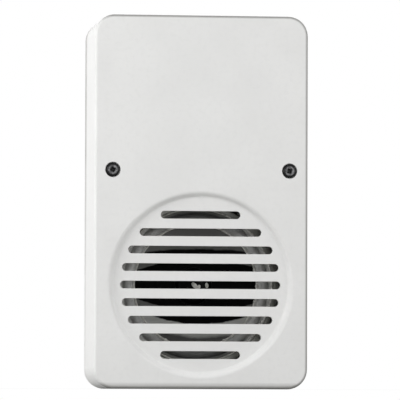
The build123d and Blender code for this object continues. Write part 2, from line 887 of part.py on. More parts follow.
def make_transistors():
    """Small moulded transistors with a flat face and three leads."""
    transistors = []
    low = board_front + transistor_lift
    for shares in transistor_place_shares:
        x, y = on_board(shares)
        body = disc(transistor_radius, low, low + transistor_height)
        top = low + transistor_height
        body -= block(2 * transistor_radius, transistor_radius, low - overrun, top + overrun,
                      0, -transistor_radius)
        spots = [(side * transistor_radius / 2, 0) for side in (-1, 0, 1)]
        transistors.append(Pos(x, y, 0) * legs_under(body, spots, low + overrun))
    return Compound(transistors)


def make_volume_body():
    """The volume trimmer's body, bored for the knob's stem."""
    x, y = on_board(volume_place_shares)
    top = board_front + volume_body_height
    body = block(volume_body_size, volume_body_size, board_front, top, x, y)
    body = chamfer(body.edges().filter_by(Axis.Z), can_edge_round)
    return body - disc(volume_bore_radius, top - volume_bore_depth, top + overrun, x, y)


def make_volume_knob():
    """The fluted volume knob with its screwdriver slot."""
    x, y = on_board(volume_place_shares)
    low = board_front + volume_body_height + seat_gap
    top = low + volume_knob_height
    knob = disc(volume_knob_radius, low, top)
    knob = chamfer(knob.faces().sort_by(Axis.Z)[-1].edges(), can_edge_round)
    for k in range(volume_knob_flutes):
        angle = math.radians(k * 360 / volume_knob_flutes)
        flute_x = volume_knob_radius * math.cos(angle)
        flute_y = volume_knob_radius * math.sin(angle)
        knob -= disc(volume_flute_radius, low - overrun, top + overrun, flute_x, flute_y)
    knob -= block(2 * volume_knob_radius + overrun, volume_slot_width, top - volume_slot_depth, top + overrun)
    stem_low = low - volume_bore_depth + seat_gap
    knob += disc(volume_bore_radius - turning_clearance, stem_low, low + overrun)
    return Pos(x, y, 0) * knob


def make_switch_body():
    """The tune selector's body with its window."""
    x, y = on_board(switch_place_shares)
    top = board_front + switch_height
    body = block(switch_length, switch_width, board_front, top, x, y)
    body = chamfer(body.edges().filter_by(Axis.Z), can_edge_round)
    floor = top - switch_window_depth
    return body - block(switch_window_length, switch_window_width, floor, top + overrun, x, y)


def make_switch_slider():
    """The selector's slider, at rest at the left end of its travel."""
    x, y = on_board(switch_place_shares)
    low = board_front + switch_height - switch_window_depth + slider_clearance
    width = switch_window_width - 2 * slider_clearance
    slider = block(slider_length, width, low, low + slider_height, x - switch_travel / 2, y)
    return fillet(slider.faces().sort_by(Axis.Z)[-1].edges(), slider_clearance * 2)


def make_speaker_socket():
    """The two-way socket on the board for the speaker's plug."""
    x, y = on_board(plug_place_shares)
    top = board_front + plug_socket_height
    shell = block(plug_socket_width, plug_socket_depth, board_front, top, x, y)
    return shell - block(plug_width + 2 * plug_fit, plug_depth + 2 * plug_fit, board_front + plug_wall,
                         top + overrun, x, y)


def make_speaker_plug():
    """The plug on the speaker's leads, seated in the socket."""
    x, y = on_board(plug_place_shares)
    low = board_front + plug_wall
    plug = block(plug_width, plug_depth, low, low + plug_height, x, y)
    return chamfer(plug.faces().sort_by(Axis.Z)[-1].edges(), plug_fit * 3)


def lead_route(side):
    """The points of one speaker lead, from its tag to the plug."""
    plug_x, plug_y = on_board(plug_place_shares)
    plug_top = board_front + plug_wall + plug_height
    tag_x = side * tag_spacing / 2
    tag_y = grille_y + speaker_radius + tag_board_reach / 2 + tag_length - tag_width
    tag_z = flange_back + tag_thickness + lead_radius
    pin_x = plug_x + side * socket_pin_pitch / 2
    reach = plug_y - tag_y
    points = [(tag_x, tag_y, tag_z)]
    for along, up, across in zip(lead_reach_shares, lead_arch_shares, lead_side_shares):
        points.append((tag_x + across * (pin_x - tag_x), tag_y + along * reach, tag_z + up * lead_arch))
    points.append((pin_x, plug_y, plug_top + lead_last_share * (tag_z - plug_top)))
    points.append((pin_x, plug_y, plug_top))
    return points


def lead_radii(points):
    """The bend radius at each inner point, from its shorter run and its turn."""
    radii = []
    run_share = 0.45
    for before, here, after in zip(points, points[1:], points[2:]):
        run_in = Vector(*here) - Vector(*before)
        run_out = Vector(*after) - Vector(*here)
        half_turn = math.radians(run_in.get_angle(run_out) / 2)
        radii.append(run_share * min(run_in.length, run_out.length) / math.tan(half_turn))
    return radii


def make_speaker_lead(side, name):
    """One insulated lead between a tag and the plug, soldered at the tag."""
    points = lead_route(side)
    radii = lead_radii(points)
    path = FilletPolyline(*points, radius=radii)
    section = Plane(origin=path @ 0, z_dir=path % 0) * Circle(lead_radius)
    lead = sweep(section, path=path)
    expected = math.pi * lead_radius ** 2 * path.length
    print(name, "length", round(path.length, 1), "radii", [round(r, 1) for r in radii],
          "volume ratio", round(lead.volume / expected, 4))
    return lead


def build():
    """Every piece under the name of its node."""
    left, right = screw_places()
    return {
        "front_cover": make_front_cover(),
        "cover_screw_left": make_cover_screw(*left),
        "cover_screw_right": make_cover_screw(*right),
        "cover_screw_washers": make_cover_screw_washers(),
        "base_plate": make_base_plate(),
        "cable_grommet": make_cable_grommet(),
        "speaker_basket": make_speaker_basket(),
        "speaker_gasket": make_speaker_gasket(),
        "cone_surround": make_cone_surround(),
        "speaker_cone": make_speaker_cone(),
        "dust_cap": make_dust_cap(),
        "voice_coil_former": make_voice_coil_former(),
        "voice_coil": make_voice_coil(),
        "spider": make_spider(),
        "speaker_magnet": make_speaker_magnet(),
        "magnet_front_plate": make_magnet_front_plate(),
        "magnet_yoke": make_magnet_yoke(),
        "speaker_tag_board": make_speaker_tag_board(),
        "speaker_tags": make_speaker_tags(),
        "speaker_clips": make_speaker_clips(),
        "speaker_clip_screws": make_speaker_clip_screws(),
        "circuit_board": make_circuit_board(),
        "board_screws": make_board_screws(),
        "terminal_block": make_terminal_block(),
        "terminal_screws": make_terminal_screws(),
        "tune_chip": make_tune_chip(),
        "chip_socket": make_chip_socket(),
        "amplifier_chip": make_amplifier_chip(),
        "bridge_rectifier": make_bridge_rectifier(),
        "reservoir_capacitor": make_reservoir_capacitor(),
        "coupling_capacitor": make_coupling_capacitor(),
        "small_capacitors": make_small_capacitors(),
        "disc_capacitors": make_disc_capacitors(),
        "resistors": make_resistors(),
        "transistors": make_transistors(),
        "volume_body": make_volume_body(),
        "volume_knob": make_volume_knob(),
        "switch_body": make_switch_body(),
        "switch_slider": make_switch_slider(),
        "speaker_socket": make_speaker_socket(),
        "speaker_plug": make_speaker_plug(),
        "speaker_lead_red": make_speaker_lead(-1, "speaker_lead_red"),
        "speaker_lead_black": make_speaker_lead(1, "speaker_lead_black"),
    }


os.makedirs("parts", exist_ok=True)
for node, shape in build().items():
    export_step(Rot(90, 0, 0) * shape, "parts/" + node + ".step")
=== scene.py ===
import math
from functools import partial

import bmesh
import bpy
from bpy.props import FloatProperty, FloatVectorProperty, IntProperty, PointerProperty
from mathutils import Matrix, Quaternion, Vector


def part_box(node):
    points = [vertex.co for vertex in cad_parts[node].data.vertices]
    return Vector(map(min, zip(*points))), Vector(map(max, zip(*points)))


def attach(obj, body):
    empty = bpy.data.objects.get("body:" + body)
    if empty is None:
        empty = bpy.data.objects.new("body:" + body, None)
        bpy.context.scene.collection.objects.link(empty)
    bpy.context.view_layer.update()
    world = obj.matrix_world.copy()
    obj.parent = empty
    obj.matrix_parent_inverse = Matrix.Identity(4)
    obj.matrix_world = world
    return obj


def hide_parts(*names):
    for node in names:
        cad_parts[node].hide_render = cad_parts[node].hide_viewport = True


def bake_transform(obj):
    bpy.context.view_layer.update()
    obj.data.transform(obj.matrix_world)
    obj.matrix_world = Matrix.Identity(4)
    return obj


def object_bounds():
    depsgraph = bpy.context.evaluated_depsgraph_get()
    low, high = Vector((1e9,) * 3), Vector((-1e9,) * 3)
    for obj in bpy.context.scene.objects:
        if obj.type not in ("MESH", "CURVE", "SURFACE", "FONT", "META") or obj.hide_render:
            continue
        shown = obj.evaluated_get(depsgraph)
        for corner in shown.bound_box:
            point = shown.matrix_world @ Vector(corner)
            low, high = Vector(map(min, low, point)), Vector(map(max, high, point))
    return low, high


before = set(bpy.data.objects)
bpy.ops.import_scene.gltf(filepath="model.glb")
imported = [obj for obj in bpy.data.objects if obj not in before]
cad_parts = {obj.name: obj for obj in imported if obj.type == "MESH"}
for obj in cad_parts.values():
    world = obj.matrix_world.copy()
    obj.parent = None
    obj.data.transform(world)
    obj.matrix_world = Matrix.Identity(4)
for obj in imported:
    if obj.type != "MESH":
        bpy.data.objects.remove(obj)        # the fixed frame: bodies, nodes, joints and the packed record
cad_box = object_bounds()

bl_info = {
    "name": "Doorbell chime box",
    "version": (1, 0, 0),
    "blender": (4, 5, 0),
    "location": "3D View > Sidebar > Chime box",
    "description": "Finishes and fine parts of a wall-mounted doorbell chime box",
    "category": "Add Mesh",
}

MM = 0.001
# Pieces are drawn in millimetres, lying on their back, x right, y up the wall and z out of it.
# Then they are stood up, in metres.
STAND_UP = Matrix.Rotation(math.radians(90), 4, "X") @ Matrix.Scale(MM, 4)
HERE = Matrix.Identity(4)
SHARP_ANGLE = math.radians(32)
HAIR = 0.02              # millimetres by which a thin layer stands clear of what it lies on
NOTHING = 0.0001         # millimetres under which a ring of points is one point


# Colours and nodes

def linear(code):
    """A colour written as sRGB hex, as linear red, green and blue."""
    parts = [int(code[i:i + 2], 16) / 255 for i in (1, 3, 5)]
    return [v / 12.92 if v <= 0.04045 else ((v + 0.055) / 1.055) ** 2.4 for v in parts]


def tone(colour, share=1.0):
    """A colour from hex or from a setting, made darker by a share, with its alpha."""
    parts = linear(colour) if isinstance(colour, str) else colour
    return [v * share for v in parts[:3]] + [1.0]


def add_node(tree, kind, settings=None, links=None):
    """Adds one node with its settings and the links that come into it."""
    made = tree.nodes.new("ShaderNode" + kind)
    for key, value in (settings or {}).items():
        if isinstance(key, int) or key in made.inputs:
            made.inputs[key].default_value = value
        else:
            setattr(made, key, value)
    for key, (source, output) in (links or {}).items():
        tree.links.new(source.outputs[output], made.inputs[key])
    return made


class Surface:
    """A material under construction: its shader, its place on the piece in millimetres and its bumps."""

    def __init__(self, name, **shader):
        self.material = bpy.data.materials.new(name)
        self.material.use_nodes = True
        self.tree = self.material.node_tree
        self.tree.nodes.clear()
        self.add = partial(add_node, self.tree)
        out = self.add("OutputMaterial")
        sockets = {key.replace("_", " ").title().replace("Ior", "IOR"): v for key, v in shader.items()}
        self.skin = self.add("BsdfPrincipled", sockets)
        self.tree.links.new(self.skin.outputs["BSDF"], out.inputs["Surface"])
        metres = self.add("TexCoord")
        self.place = self.add("VectorMath", {"operation": "SCALE", "Scale": 1 / MM}, {0: (metres, "Object")})
        self.spot = self.add("SeparateXYZ", None, {0: (self.place, 0)})
        self.mixed = None
        self.bump = None

    def cloud(self, size, detail=3.0, rough=0.55, stretch=(1, 1, 1)):
        """Soft random spots of a size, squeezed or drawn out along each axis."""
        place = self.add("Mapping", {"Scale": stretch}, {"Vector": (self.place, 0)})
        settings = {"Scale": 1 / size, "Detail": detail, "Roughness": rough}
        return self.add("TexNoise", settings, {"Vector": (place, "Vector")})

    def colour(self, pattern, low, high, start=0.35, end=0.65):
        """Mixes two tones by a pattern, and gives the mix to the shader."""
        spread = self.add("MapRange", {"From Min": start, "From Max": end}, {"Value": (pattern, 0)})
        self.mixed = self.add("Mix", {"data_type": "RGBA", 6: tone(low), 7: tone(high)}, {0: (spread, 0)})
        self.tree.links.new(self.mixed.outputs[2], self.skin.inputs["Base Color"])

    def tint(self, colour, most, *spans):
        """Lays one more tone over the mix where every pattern has run from its start to its end."""
        share = None
        for source, output, start, end in spans:
            settings = {"From Min": start, "From Max": end, "To Max": 1.0 if share else most}
            spread = self.add("MapRange", settings, {"Value": (source, output)})
            if share:
                spread = self.add("Math", {"operation": "MULTIPLY"}, {0: (share, 0), 1: (spread, 0)})
            share = spread
        links = {0: (share, 0), 6: (self.mixed, 2)}
        self.mixed = self.add("Mix", {"data_type": "RGBA", 7: tone(colour)}, links)
        self.tree.links.new(self.mixed.outputs[2], self.skin.inputs["Base Color"])

    def polish(self, pattern, low, high):
        """Roughness from low to high by a pattern."""
        settings = {"From Min": 0.3, "From Max": 0.7, "To Min": low, "To Max": high}
        spread = self.add("MapRange", settings, {"Value": (pattern, 0)})
        self.tree.links.new(spread.outputs[0], self.skin.inputs["Roughness"])

    def relief(self, pattern, height):
        """A bump of a height by a pattern, over the bumps so far."""
        links = {"Height": (pattern, 0)}
        if self.bump:
            links["Normal"] = (self.bump, "Normal")
        self.bump = self.add("Bump", {"Distance": height * MM}, links)
        self.tree.links.new(self.bump.outputs["Normal"], self.skin.inputs["Normal"])

    def weave(self, spacing, height):
        """Threads crossing at a spacing, as a pattern that is also a bump."""
        turn_to_scale = math.pi / 10
        bands = {}
        for slot, way in enumerate("XZ"):
            settings = {"Scale": turn_to_scale / spacing, "bands_direction": way, "Distortion": 0.6}
            bands[slot] = (self.add("TexWave", settings, {"Vector": (self.place, 0)}), "Fac")
        crossing = self.add("Math", {"operation": "MULTIPLY"}, bands)
        self.relief(crossing, height)
        return crossing


def speckled(name, spots, low, high, span=(0.35, 0.65), gloss=None, bumps=None, height=0.0, **shader):
    """A material of two tones in soft spots. Gloss follows the spots, and so do the bumps, unless
    they have spots of their own."""
    made = Surface(name, **shader)
    pattern = made.cloud(**spots)
    made.colour(pattern, low, high, *span)
    if gloss:
        made.polish(pattern, *gloss)
    if height:
        made.relief(made.cloud(**bumps) if bumps else pattern, height)
    return made.material


# Materials of the case

def in_from_middle(made, corner):
    """How far out a point lies from the rectangle that joins the middles of the cover's corners."""
    case = room("front_cover")
    past = {}
    for slot, axis, half in ((0, "X", case.size.x / 2), (1, "Z", case.size.y / 2)):
        size = made.add("Math", {"operation": "ABSOLUTE"}, {0: (made.spot, axis)})
        past[slot] = (made.add("Math", {"operation": "SUBTRACT", 1: half - corner}, {0: (size, 0)}), 0)
    pair = made.add("CombineXYZ", None, past)
    outside = made.add("VectorMath", {"operation": "MAXIMUM", 1: (0, 0, 0)}, {0: (pair, 0)})
    return made.add("VectorMath", {"operation": "LENGTH"}, {0: (outside, 0)})


def moulded_abs(look):
    """ABS, injection moulded in a spark-textured tool: matt and faintly clouded, with dust and painted shade
    towards the wall, dust on top that also paints the top edge's shade, and thin grey lines of painted shade
    along the outer edges and underneath."""
    made = Surface("moulded_abs_light_grey", roughness=0.5, ior=1.53, specular_ior_level=0.25)
    clouds = made.cloud(26, 4.0)
    made.colour(clouds, tone(look.plastic, 0.965), look.plastic)
    made.tint(tone(look.plastic, 0.93), 0.55, (made.cloud(2.4, 2.0), 0, 0.48, 0.78))
    geometry = made.add("NewGeometry")
    facing = made.add("SeparateXYZ", None, {0: (geometry, "Normal")})
    unevenness = made.cloud(12, 5.0)
    corner = look.corner / MM
    # Where each band of painted shade and dust starts and ends, in millimetres
    at_wall = (made.spot, "Y", -10, -4.5)
    more_above = (made.spot, "Z", -95, 30)
    facing_up = (facing, "Z", 0.12, 0.6)
    at_top = (made.spot, "Z", 70, 80)
    front_rim = (made.spot, "Y", -46, -47)
    outline = (in_from_middle(made, corner), "Value", corner - 1.4, corner - 0.4)
    less_at_left = (made.spot, "X", -47, -42)
    towards_front = (made.spot, "Y", -40, -44)
    underneath = (made.spot, "Z", -83.8, -85.8)
    # Dust and painted shade towards the wall, more of it higher up
    made.tint(look.grime_and_shade, 0.8, at_wall, more_above, (unevenness, 0, -0.5, 0.6))
    # Dust on surfaces facing up near the top, laid on to paint the top edge's shade too
    made.tint(look.grime_and_shade, 0.35, facing_up, at_top, (unevenness, 0, -0.5, 0.7))
    # Painted shade: a thin grey line round the front's outer edge, fainter at the left
    made.tint(tone(look.grime_and_shade, 0.8), 0.85, front_rim, outline, less_at_left)
    # Painted shade: darker on the underside, towards the front
    made.tint(look.grime_and_shade, 0.6, towards_front, underneath)
    made.polish(clouds, 0.46, 0.56)
    # The real spark grain is about 0.05 mm, so it is drawn coarser to show.
    made.relief(made.cloud(look.grain, 1.0), 0.008)
    made.relief(made.cloud(14, 1.0), 0.02)
    return made.material


def moulded_abs_base(look):
    """ABS of the base plate: the same plastic from a plain tool, a little darker, with flow marks."""
    flow = {"size": 18, "detail": 5.0, "stretch": (1, 1, 0.4)}
    return speckled("moulded_abs_base", flow, tone(look.base_plastic, 0.92), look.base_plastic,
                    gloss=(0.34, 0.5), bumps={"size": 0.5, "detail": 1.0}, height=0.006,
                    roughness=0.42, ior=1.53)


def moulded_rubber():
    """Black natural rubber, moulded: dull, with a bloom of grey dust in patches."""
    return speckled("moulded_rubber", {"size": 3, "detail": 5.0}, "#1B1B1B", "#343433", (0.45, 0.8),
                    bumps={"size": 0.35}, height=0.01, roughness=0.75, ior=1.52)


def vulcanised_fibre():
    """Red vulcanised fibre, punched from sheet: matt, with fine layered fibres."""
    fibres = {"size": 0.8, "detail": 6.0, "stretch": (1, 4, 1)}
    return speckled("vulcanised_fibre", fibres, "#7A2A1E", "#A8432F", height=0.02, roughness=0.7, ior=1.5)


def blackened_steel(look):
    """Steel with black oxide: black and satin, with a grey highlight painted in a ring round the recess."""
    made = Surface("blackened_steel", roughness=0.3, ior=1.32)
    tone_spots = made.cloud(0.9, 4.0)
    made.colour(tone_spots, look.steel, tone(look.steel, 2.2), 0.45, 0.8)
    axis = room("cover_screw_right").centre
    side = made.add("Math", {"operation": "ABSOLUTE"}, {0: (made.spot, "X")})
    spot = made.add("CombineXYZ", None, {0: (side, 0), 1: (made.spot, "Z")})
    out = made.add("VectorMath", {"operation": "DISTANCE", 1: (axis.x, axis.y, 0)}, {0: (spot, 0)})
    past_middle = (out, "Value", 0.9, 1.35)
    within_rim = (out, "Value", 2.35, 1.9)
    # Painted highlight: a grey ring round the cross recess, broken by the spots
    made.tint(look.steel_highlight, 1.0, past_middle, within_rim, (tone_spots, 0, 0.32, 0.62))
    made.polish(tone_spots, 0.24, 0.36)
    made.relief(made.cloud(0.12, 2.0), 0.004)
    return made.material


# Materials of the loudspeaker

def off_middle(made, axis="Z"):
    """How far a point lies above or below the cone's middle, or beside it along X."""
    middle = room("speaker_cone").centre
    settings = {"operation": "SUBTRACT", 1: middle.y if axis == "Z" else middle.x}
    off = made.add("Math", settings, {0: (made.spot, axis)})
    return made.add("Math", {"operation": "ABSOLUTE"}, {0: (off, 0)})


def bowed(made, look, way, radius):
    """How far a point lies above the cone's middle (way 1) or below it (way -1), plus the rise of an arc at
    its distance across, made a little uneven."""
    middle = room("speaker_cone").centre
    uneven = 1.6
    fused = "MULTIPLY_ADD"
    height = made.add("Math", {"operation": fused, 1: way, 2: -way * middle.y}, {0: (made.spot, "Z")})
    offset = middle.x + look.light_offset / MM
    across = made.add("Math", {"operation": "SUBTRACT", 1: offset}, {0: (made.spot, "X")})
    square = made.add("Math", {"operation": "MULTIPLY"}, {0: (across, 0), 1: (across, 0)})
    smooth = made.add("Math", {"operation": fused, 1: MM / (2 * radius)}, {0: (square, 0), 2: (height, 0)})
    return made.add("Math", {"operation": fused, 1: uneven}, {0: (made.cloud(7), 0), 2: (smooth, 0)})


def pressed_pulp(look):
    """Black paper pulp, pressed to shape: dull, with matted fibres and grey painted light round its black
    middle.
    """
    made = Surface("pressed_pulp", roughness=0.9, ior=1.2)
    fibres = made.cloud(0.5, 6.0, stretch=(1, 1, 2.5))
    made.colour(fibres, tone(look.cone, 0.5), tone(look.cone, 1.4), 0.4, 0.75)
    above = bowed(made, look, 1, look.upper_bow)
    below = bowed(made, look, -1, look.lower_bow)
    top = look.upper_light / MM
    bottom = look.lower_light / MM
    band = 7.0
    wedge = 3.6
    # Painted light: grey above the middle and darker grey below it, where light through the slots falls on
    # the cone
    made.tint(look.dust, 1.0, (above, 0, top - 0.3, top + 0.5))
    made.tint(tone(look.dust, 0.6), 1.0, (below, 0, bottom - 0.3, bottom + 0.5))
    # Painted light is brightest where the cone faces up, in a band below its middle.
    made.tint(tone(look.dust, 2.8), 1.0, (below, 0, bottom - 0.2, bottom + 0.4),
              (below, 0, bottom + band, bottom + band - 1.6))
    # Thin wedges of painted light run in from both sides, above and below the middle.
    at_sides = (off_middle(made, "X"), 0, 11, 19)
    for way, start in ((1, look.upper_streak / MM), (-1, look.lower_streak / MM)):
        streak = bowed(made, look, way, look.streak_bow)
        made.tint(tone(look.dust, 0.9), 1.0, (streak, 0, start, start + 0.6),
                  (streak, 0, start + wedge, start + wedge - 1.2), at_sides)
    made.relief(fibres, 0.03)
    return made.material


def doped_cloth(look):
    """Cotton cloth stiffened with grey dope: the weave shows through a satin coat, with blotches of dope."""
    made = Surface("doped_cloth", roughness=0.5, ior=1.48, coat_weight=0.2, coat_roughness=0.25)
    made.colour(made.weave(look.cloth_spacing, 0.03), tone(look.surround, 0.85), look.surround, 0.1, 0.9)
    made.tint(tone(look.surround, 0.6), 1.0, (made.cloud(2.2, 4.0), 0, 0.5, 0.8))
    # Painted shade: the cloth is darkened above and below the cone's middle, where the cover shades it.
    made.tint(tone(look.surround, 0.2), 0.92, (off_middle(made), 0, 22, 31))
    made.polish(made.cloud(6), 0.38, 0.6)
    return made.material


def hardened_glue():
    """White solvent glue, run round by hand and dried: pale, glossy, uneven. Its pale drops stand for glints.
    """
    return speckled("hardened_glue", {"size": 1.5}, "#CDCBC4", "#F4F3EE", bumps={"size": 1.1}, height=0.12,
                    roughness=0.2, ior=1.49, coat_weight=0.4, coat_roughness=0.08)


def pressed_board():
    """Pale grey pressed board, die cut: soft and fibrous, with paler flecks."""
    made = Surface("pressed_board", roughness=0.88, ior=1.45)
    flecks = made.cloud(0.7, 6.0)
    made.colour(flecks, "#C8C8C5", "#E6E6E3")
    # Painted shade: darker above and below the cone's middle, where the cover shades it.
    made.tint("#7E7E7A", 0.9, (off_middle(made), 0, 26, 31))
    made.relief(flecks, 0.04)
    return made.material


def lacquered_film():
    """Film dome lacquered black: dark, with a soft gloss and fine dust."""
    return speckled("lacquered_film", {"size": 0.9, "detail": 6.0}, "#040404", "#121212", (0.55, 0.9),
                    gloss=(0.25, 0.4), bumps={"size": 3.5, "detail": 1.0}, height=0.05,
                    roughness=0.3, ior=1.3, specular_ior_level=0.15)


def varnished_kraft():
    """Kraft paper, rolled and varnished: brown, with a light gloss and long fibres."""
    fibres = {"size": 0.9, "detail": 5.0, "stretch": (1, 5, 1)}
    return speckled("varnished_kraft", fibres, "#8A6540", "#B98D5C", height=0.015, roughness=0.4, ior=1.5,
                    coat_weight=0.2)


def enamelled_copper():
    """Copper wire under clear enamel: warm metal with a glassy coat."""
    return speckled("enamelled_copper", {"size": 0.8}, "#B4613C", "#D98A5E", metallic=1.0, roughness=0.25,
                    coat_weight=0.5, coat_roughness=0.1)


def resined_cotton():
    """Cotton cloth baked with amber resin: open weave, stiff, slightly glossy."""
    made = Surface("resined_cotton", roughness=0.55, ior=1.52, sheen_weight=0.1, coat_weight=0.15)
    made.colour(made.weave(0.55, 0.08), "#8E6A2C", "#C79C50", 0.1, 0.9)
    return made.material


def zinc_plate(name, size, dull="#A9A9A4", bright="#C9C9C3"):
    """Pressed steel with bright zinc plating: cool metal, clouded by handling, with faint rolling lines."""
    return speckled(name, {"size": size, "detail": 5.0}, dull, bright, gloss=(0.24, 0.42),
                    bumps={"size": 0.3, "detail": 2.0, "stretch": (0.06, 1, 1)}, height=0.004,
                    metallic=1.0, roughness=0.3)


def sintered_ferrite():
    """Sintered ferrite, ground on its faces: charcoal, with small pits and a dull metallic glint."""
    return speckled("sintered_ferrite", {"size": 0.6, "detail": 6.0}, "#26262A", "#3D3D42",
                    gloss=(0.4, 0.65), height=0.04, roughness=0.5, ior=2.2)


# Materials of the board

def phenolic_laminate(look):
    """Paper and phenolic resin, pressed: warm brown, half gloss, with fibres under the resin."""
    fibres = {"size": 4, "detail": 8.0, "rough": 0.7, "stretch": (1, 1, 3)}
    return speckled("phenolic_laminate", fibres, tone(look.laminate, 0.78), tone(look.laminate, 1.12),
                    bumps={"size": 0.5, "detail": 4.0}, height=0.008, roughness=0.36, ior=1.56,
                    coat_weight=0.15, coat_roughness=0.25)


def printed_ink():
    """White epoxy ink, screen printed: flat, slightly uneven."""
    return speckled("screen_printed_ink", {"size": 0.5}, "#CFCDC4", "#E9E7DF", roughness=0.6)


def tinned_wire():
    """Copper dipped in solder: pale soft metal with a wavy skin."""
    return speckled("tinned_wire", {"size": 1.2}, "#B9B9B6", "#DCDCD8", gloss=(0.2, 0.4), height=0.03,
                    metallic=1.0, roughness=0.28)


def moulded_part(name, colour, rough=0.45, spot=1.5, depth=0.008, coat=0.0):
    """A small moulded plastic piece: even colour, with tool marks and a little dust."""
    return speckled(name, {"size": spot, "detail": 5.0}, tone(colour, 0.86), tone(colour, 1.1),
                    gloss=(rough * 0.85, rough * 1.2), bumps={"size": 0.25, "detail": 2.0}, height=depth,
                    roughness=rough, ior=1.55, coat_weight=coat, coat_roughness=0.15)


def dipped_ceramic(name, colour):
    """A ceramic body dipped in epoxy or lacquer: thick, glossy and a little lumpy."""
    return speckled(name, {"size": 1.6}, tone(colour, 0.85), tone(colour, 1.08), height=0.06,
                    roughness=0.28, ior=1.52, coat_weight=0.35, coat_roughness=0.12)


def wire_insulation(name, colour):
    """PVC insulation, extruded: smooth and flexible, with a soft shine."""
    return speckled(name, {"size": 2.0}, tone(colour, 0.88), tone(colour, 1.1), bumps={"size": 0.6},
                    height=0.01, roughness=0.38, ior=1.53)


# Places in the frame

class Room:
    """The space that a CAD solid takes, in millimetres in the lying frame."""

    def __init__(self, low, high):
        self.low = Vector((low[0], low[2], -high[1]))
        self.high = Vector((high[0], high[2], -low[1]))
        self.centre = (self.low + self.high) / 2
        self.size = self.high - self.low
        self.foot = Vector((self.centre.x, self.centre.y, self.low.z))


def room(node):
    """The room of a whole CAD node."""
    return Room(*[[part / MM for part in corner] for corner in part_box(node)])


def rooms(node):
    """The room of each separate solid in a CAD node, from left to right."""
    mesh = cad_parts[node].data
    spots = [tuple(round(c / MM, 3) for c in v.co) for v in mesh.vertices]
    group = {spot: spot for spot in spots}

    def head(spot):
        while group[spot] != spot:
            group[spot] = group[group[spot]]
            spot = group[spot]
        return spot

    for face in mesh.polygons:
        first, *others = [head(spots[i]) for i in face.vertices]
        for other in others:
            group[head(other)] = head(first)
    members = {}
    for spot in group:
        members.setdefault(head(spot), []).append(spot)
    found = [Room([min(along) for along in zip(*member)], [max(along) for along in zip(*member)])
             for member in members.values()]
    return sorted(found, key=lambda r: (round(r.centre.x, 2), round(r.centre.y, 2)))


def dress(finishes):
    """Gives each CAD node its finish."""
    for node, material in finishes.items():
        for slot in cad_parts[node].material_slots:
            slot.material = material


# Meshes

def circle(radius, level, count):
    """A ring of points round z, or its middle where the radius is nothing."""
    if radius < NOTHING:
        return [Vector((0, 0, level))]
    turns = [2 * math.pi * k / count for k in range(count)]
    return [Vector((radius * math.cos(t), radius * math.sin(t), level)) for t in turns]


def arc(middle, radius, start, end, count):
    """Points of an arc in a (radius, level) profile, between two angles in degrees."""
    angles = [math.radians(start + (end - start) * k / count) for k in range(count + 1)]
    return [(middle[0] + radius * math.cos(a), middle[1] + radius * math.sin(a)) for a in angles]


def turned_by(angle, axis="Z"):
    """A turn by an angle in radians."""
    return Matrix.Rotation(angle, 4, axis)


def skin(rings, place=HERE, tint=None, loop=False):
    """A closed skin over rings of points. tint(step, side) gives a face its finish."""
    tint = tint or (lambda step, side: 0)
    bit = bmesh.new()
    corners = [[bit.verts.new(place @ p) for p in ring] for ring in rings]
    for step, (near, far) in enumerate(zip(corners, corners[1:] + corners[:1] * loop)):
        count = max(len(near), len(far))
        for side in range(count):
            after = (side + 1) % count
            quad = []
            for ring, index in ((near, side), (near, after), (far, after), (far, side)):
                corner = ring[index % len(ring)]
                if corner not in quad:
                    quad.append(corner)
            bit.faces.new(quad).material_index = tint(step, side)
    for end in (corners[0], corners[-1]):
        if len(end) > 2 and not loop:
            bit.faces.new(end).material_index = tint(0, 0)
    return bit


def carved(bit, cutter):
    """A bit with another cut out of it."""
    made = []
    for part in (bit, cutter):
        bmesh.ops.recalc_face_normals(part, faces=part.faces)
        mesh = bpy.data.meshes.new("carving")
        part.to_mesh(mesh)
        part.free()
        made.append(bpy.data.objects.new("carving", mesh))
        bpy.context.scene.collection.objects.link(made[-1])
    cut = made[0].modifiers.new("cut", "BOOLEAN")
    cut.operation = "DIFFERENCE"
    cut.solver = "EXACT"
    cut.object = made[1]
    seen = made[0].evaluated_get(bpy.context.evaluated_depsgraph_get())
    result = bmesh.new()
    result.from_mesh(seen.to_mesh())
    seen.to_mesh_clear()
    for part in made:
        mesh = part.data
        bpy.data.objects.remove(part)
        bpy.data.meshes.remove(mesh)
    return result


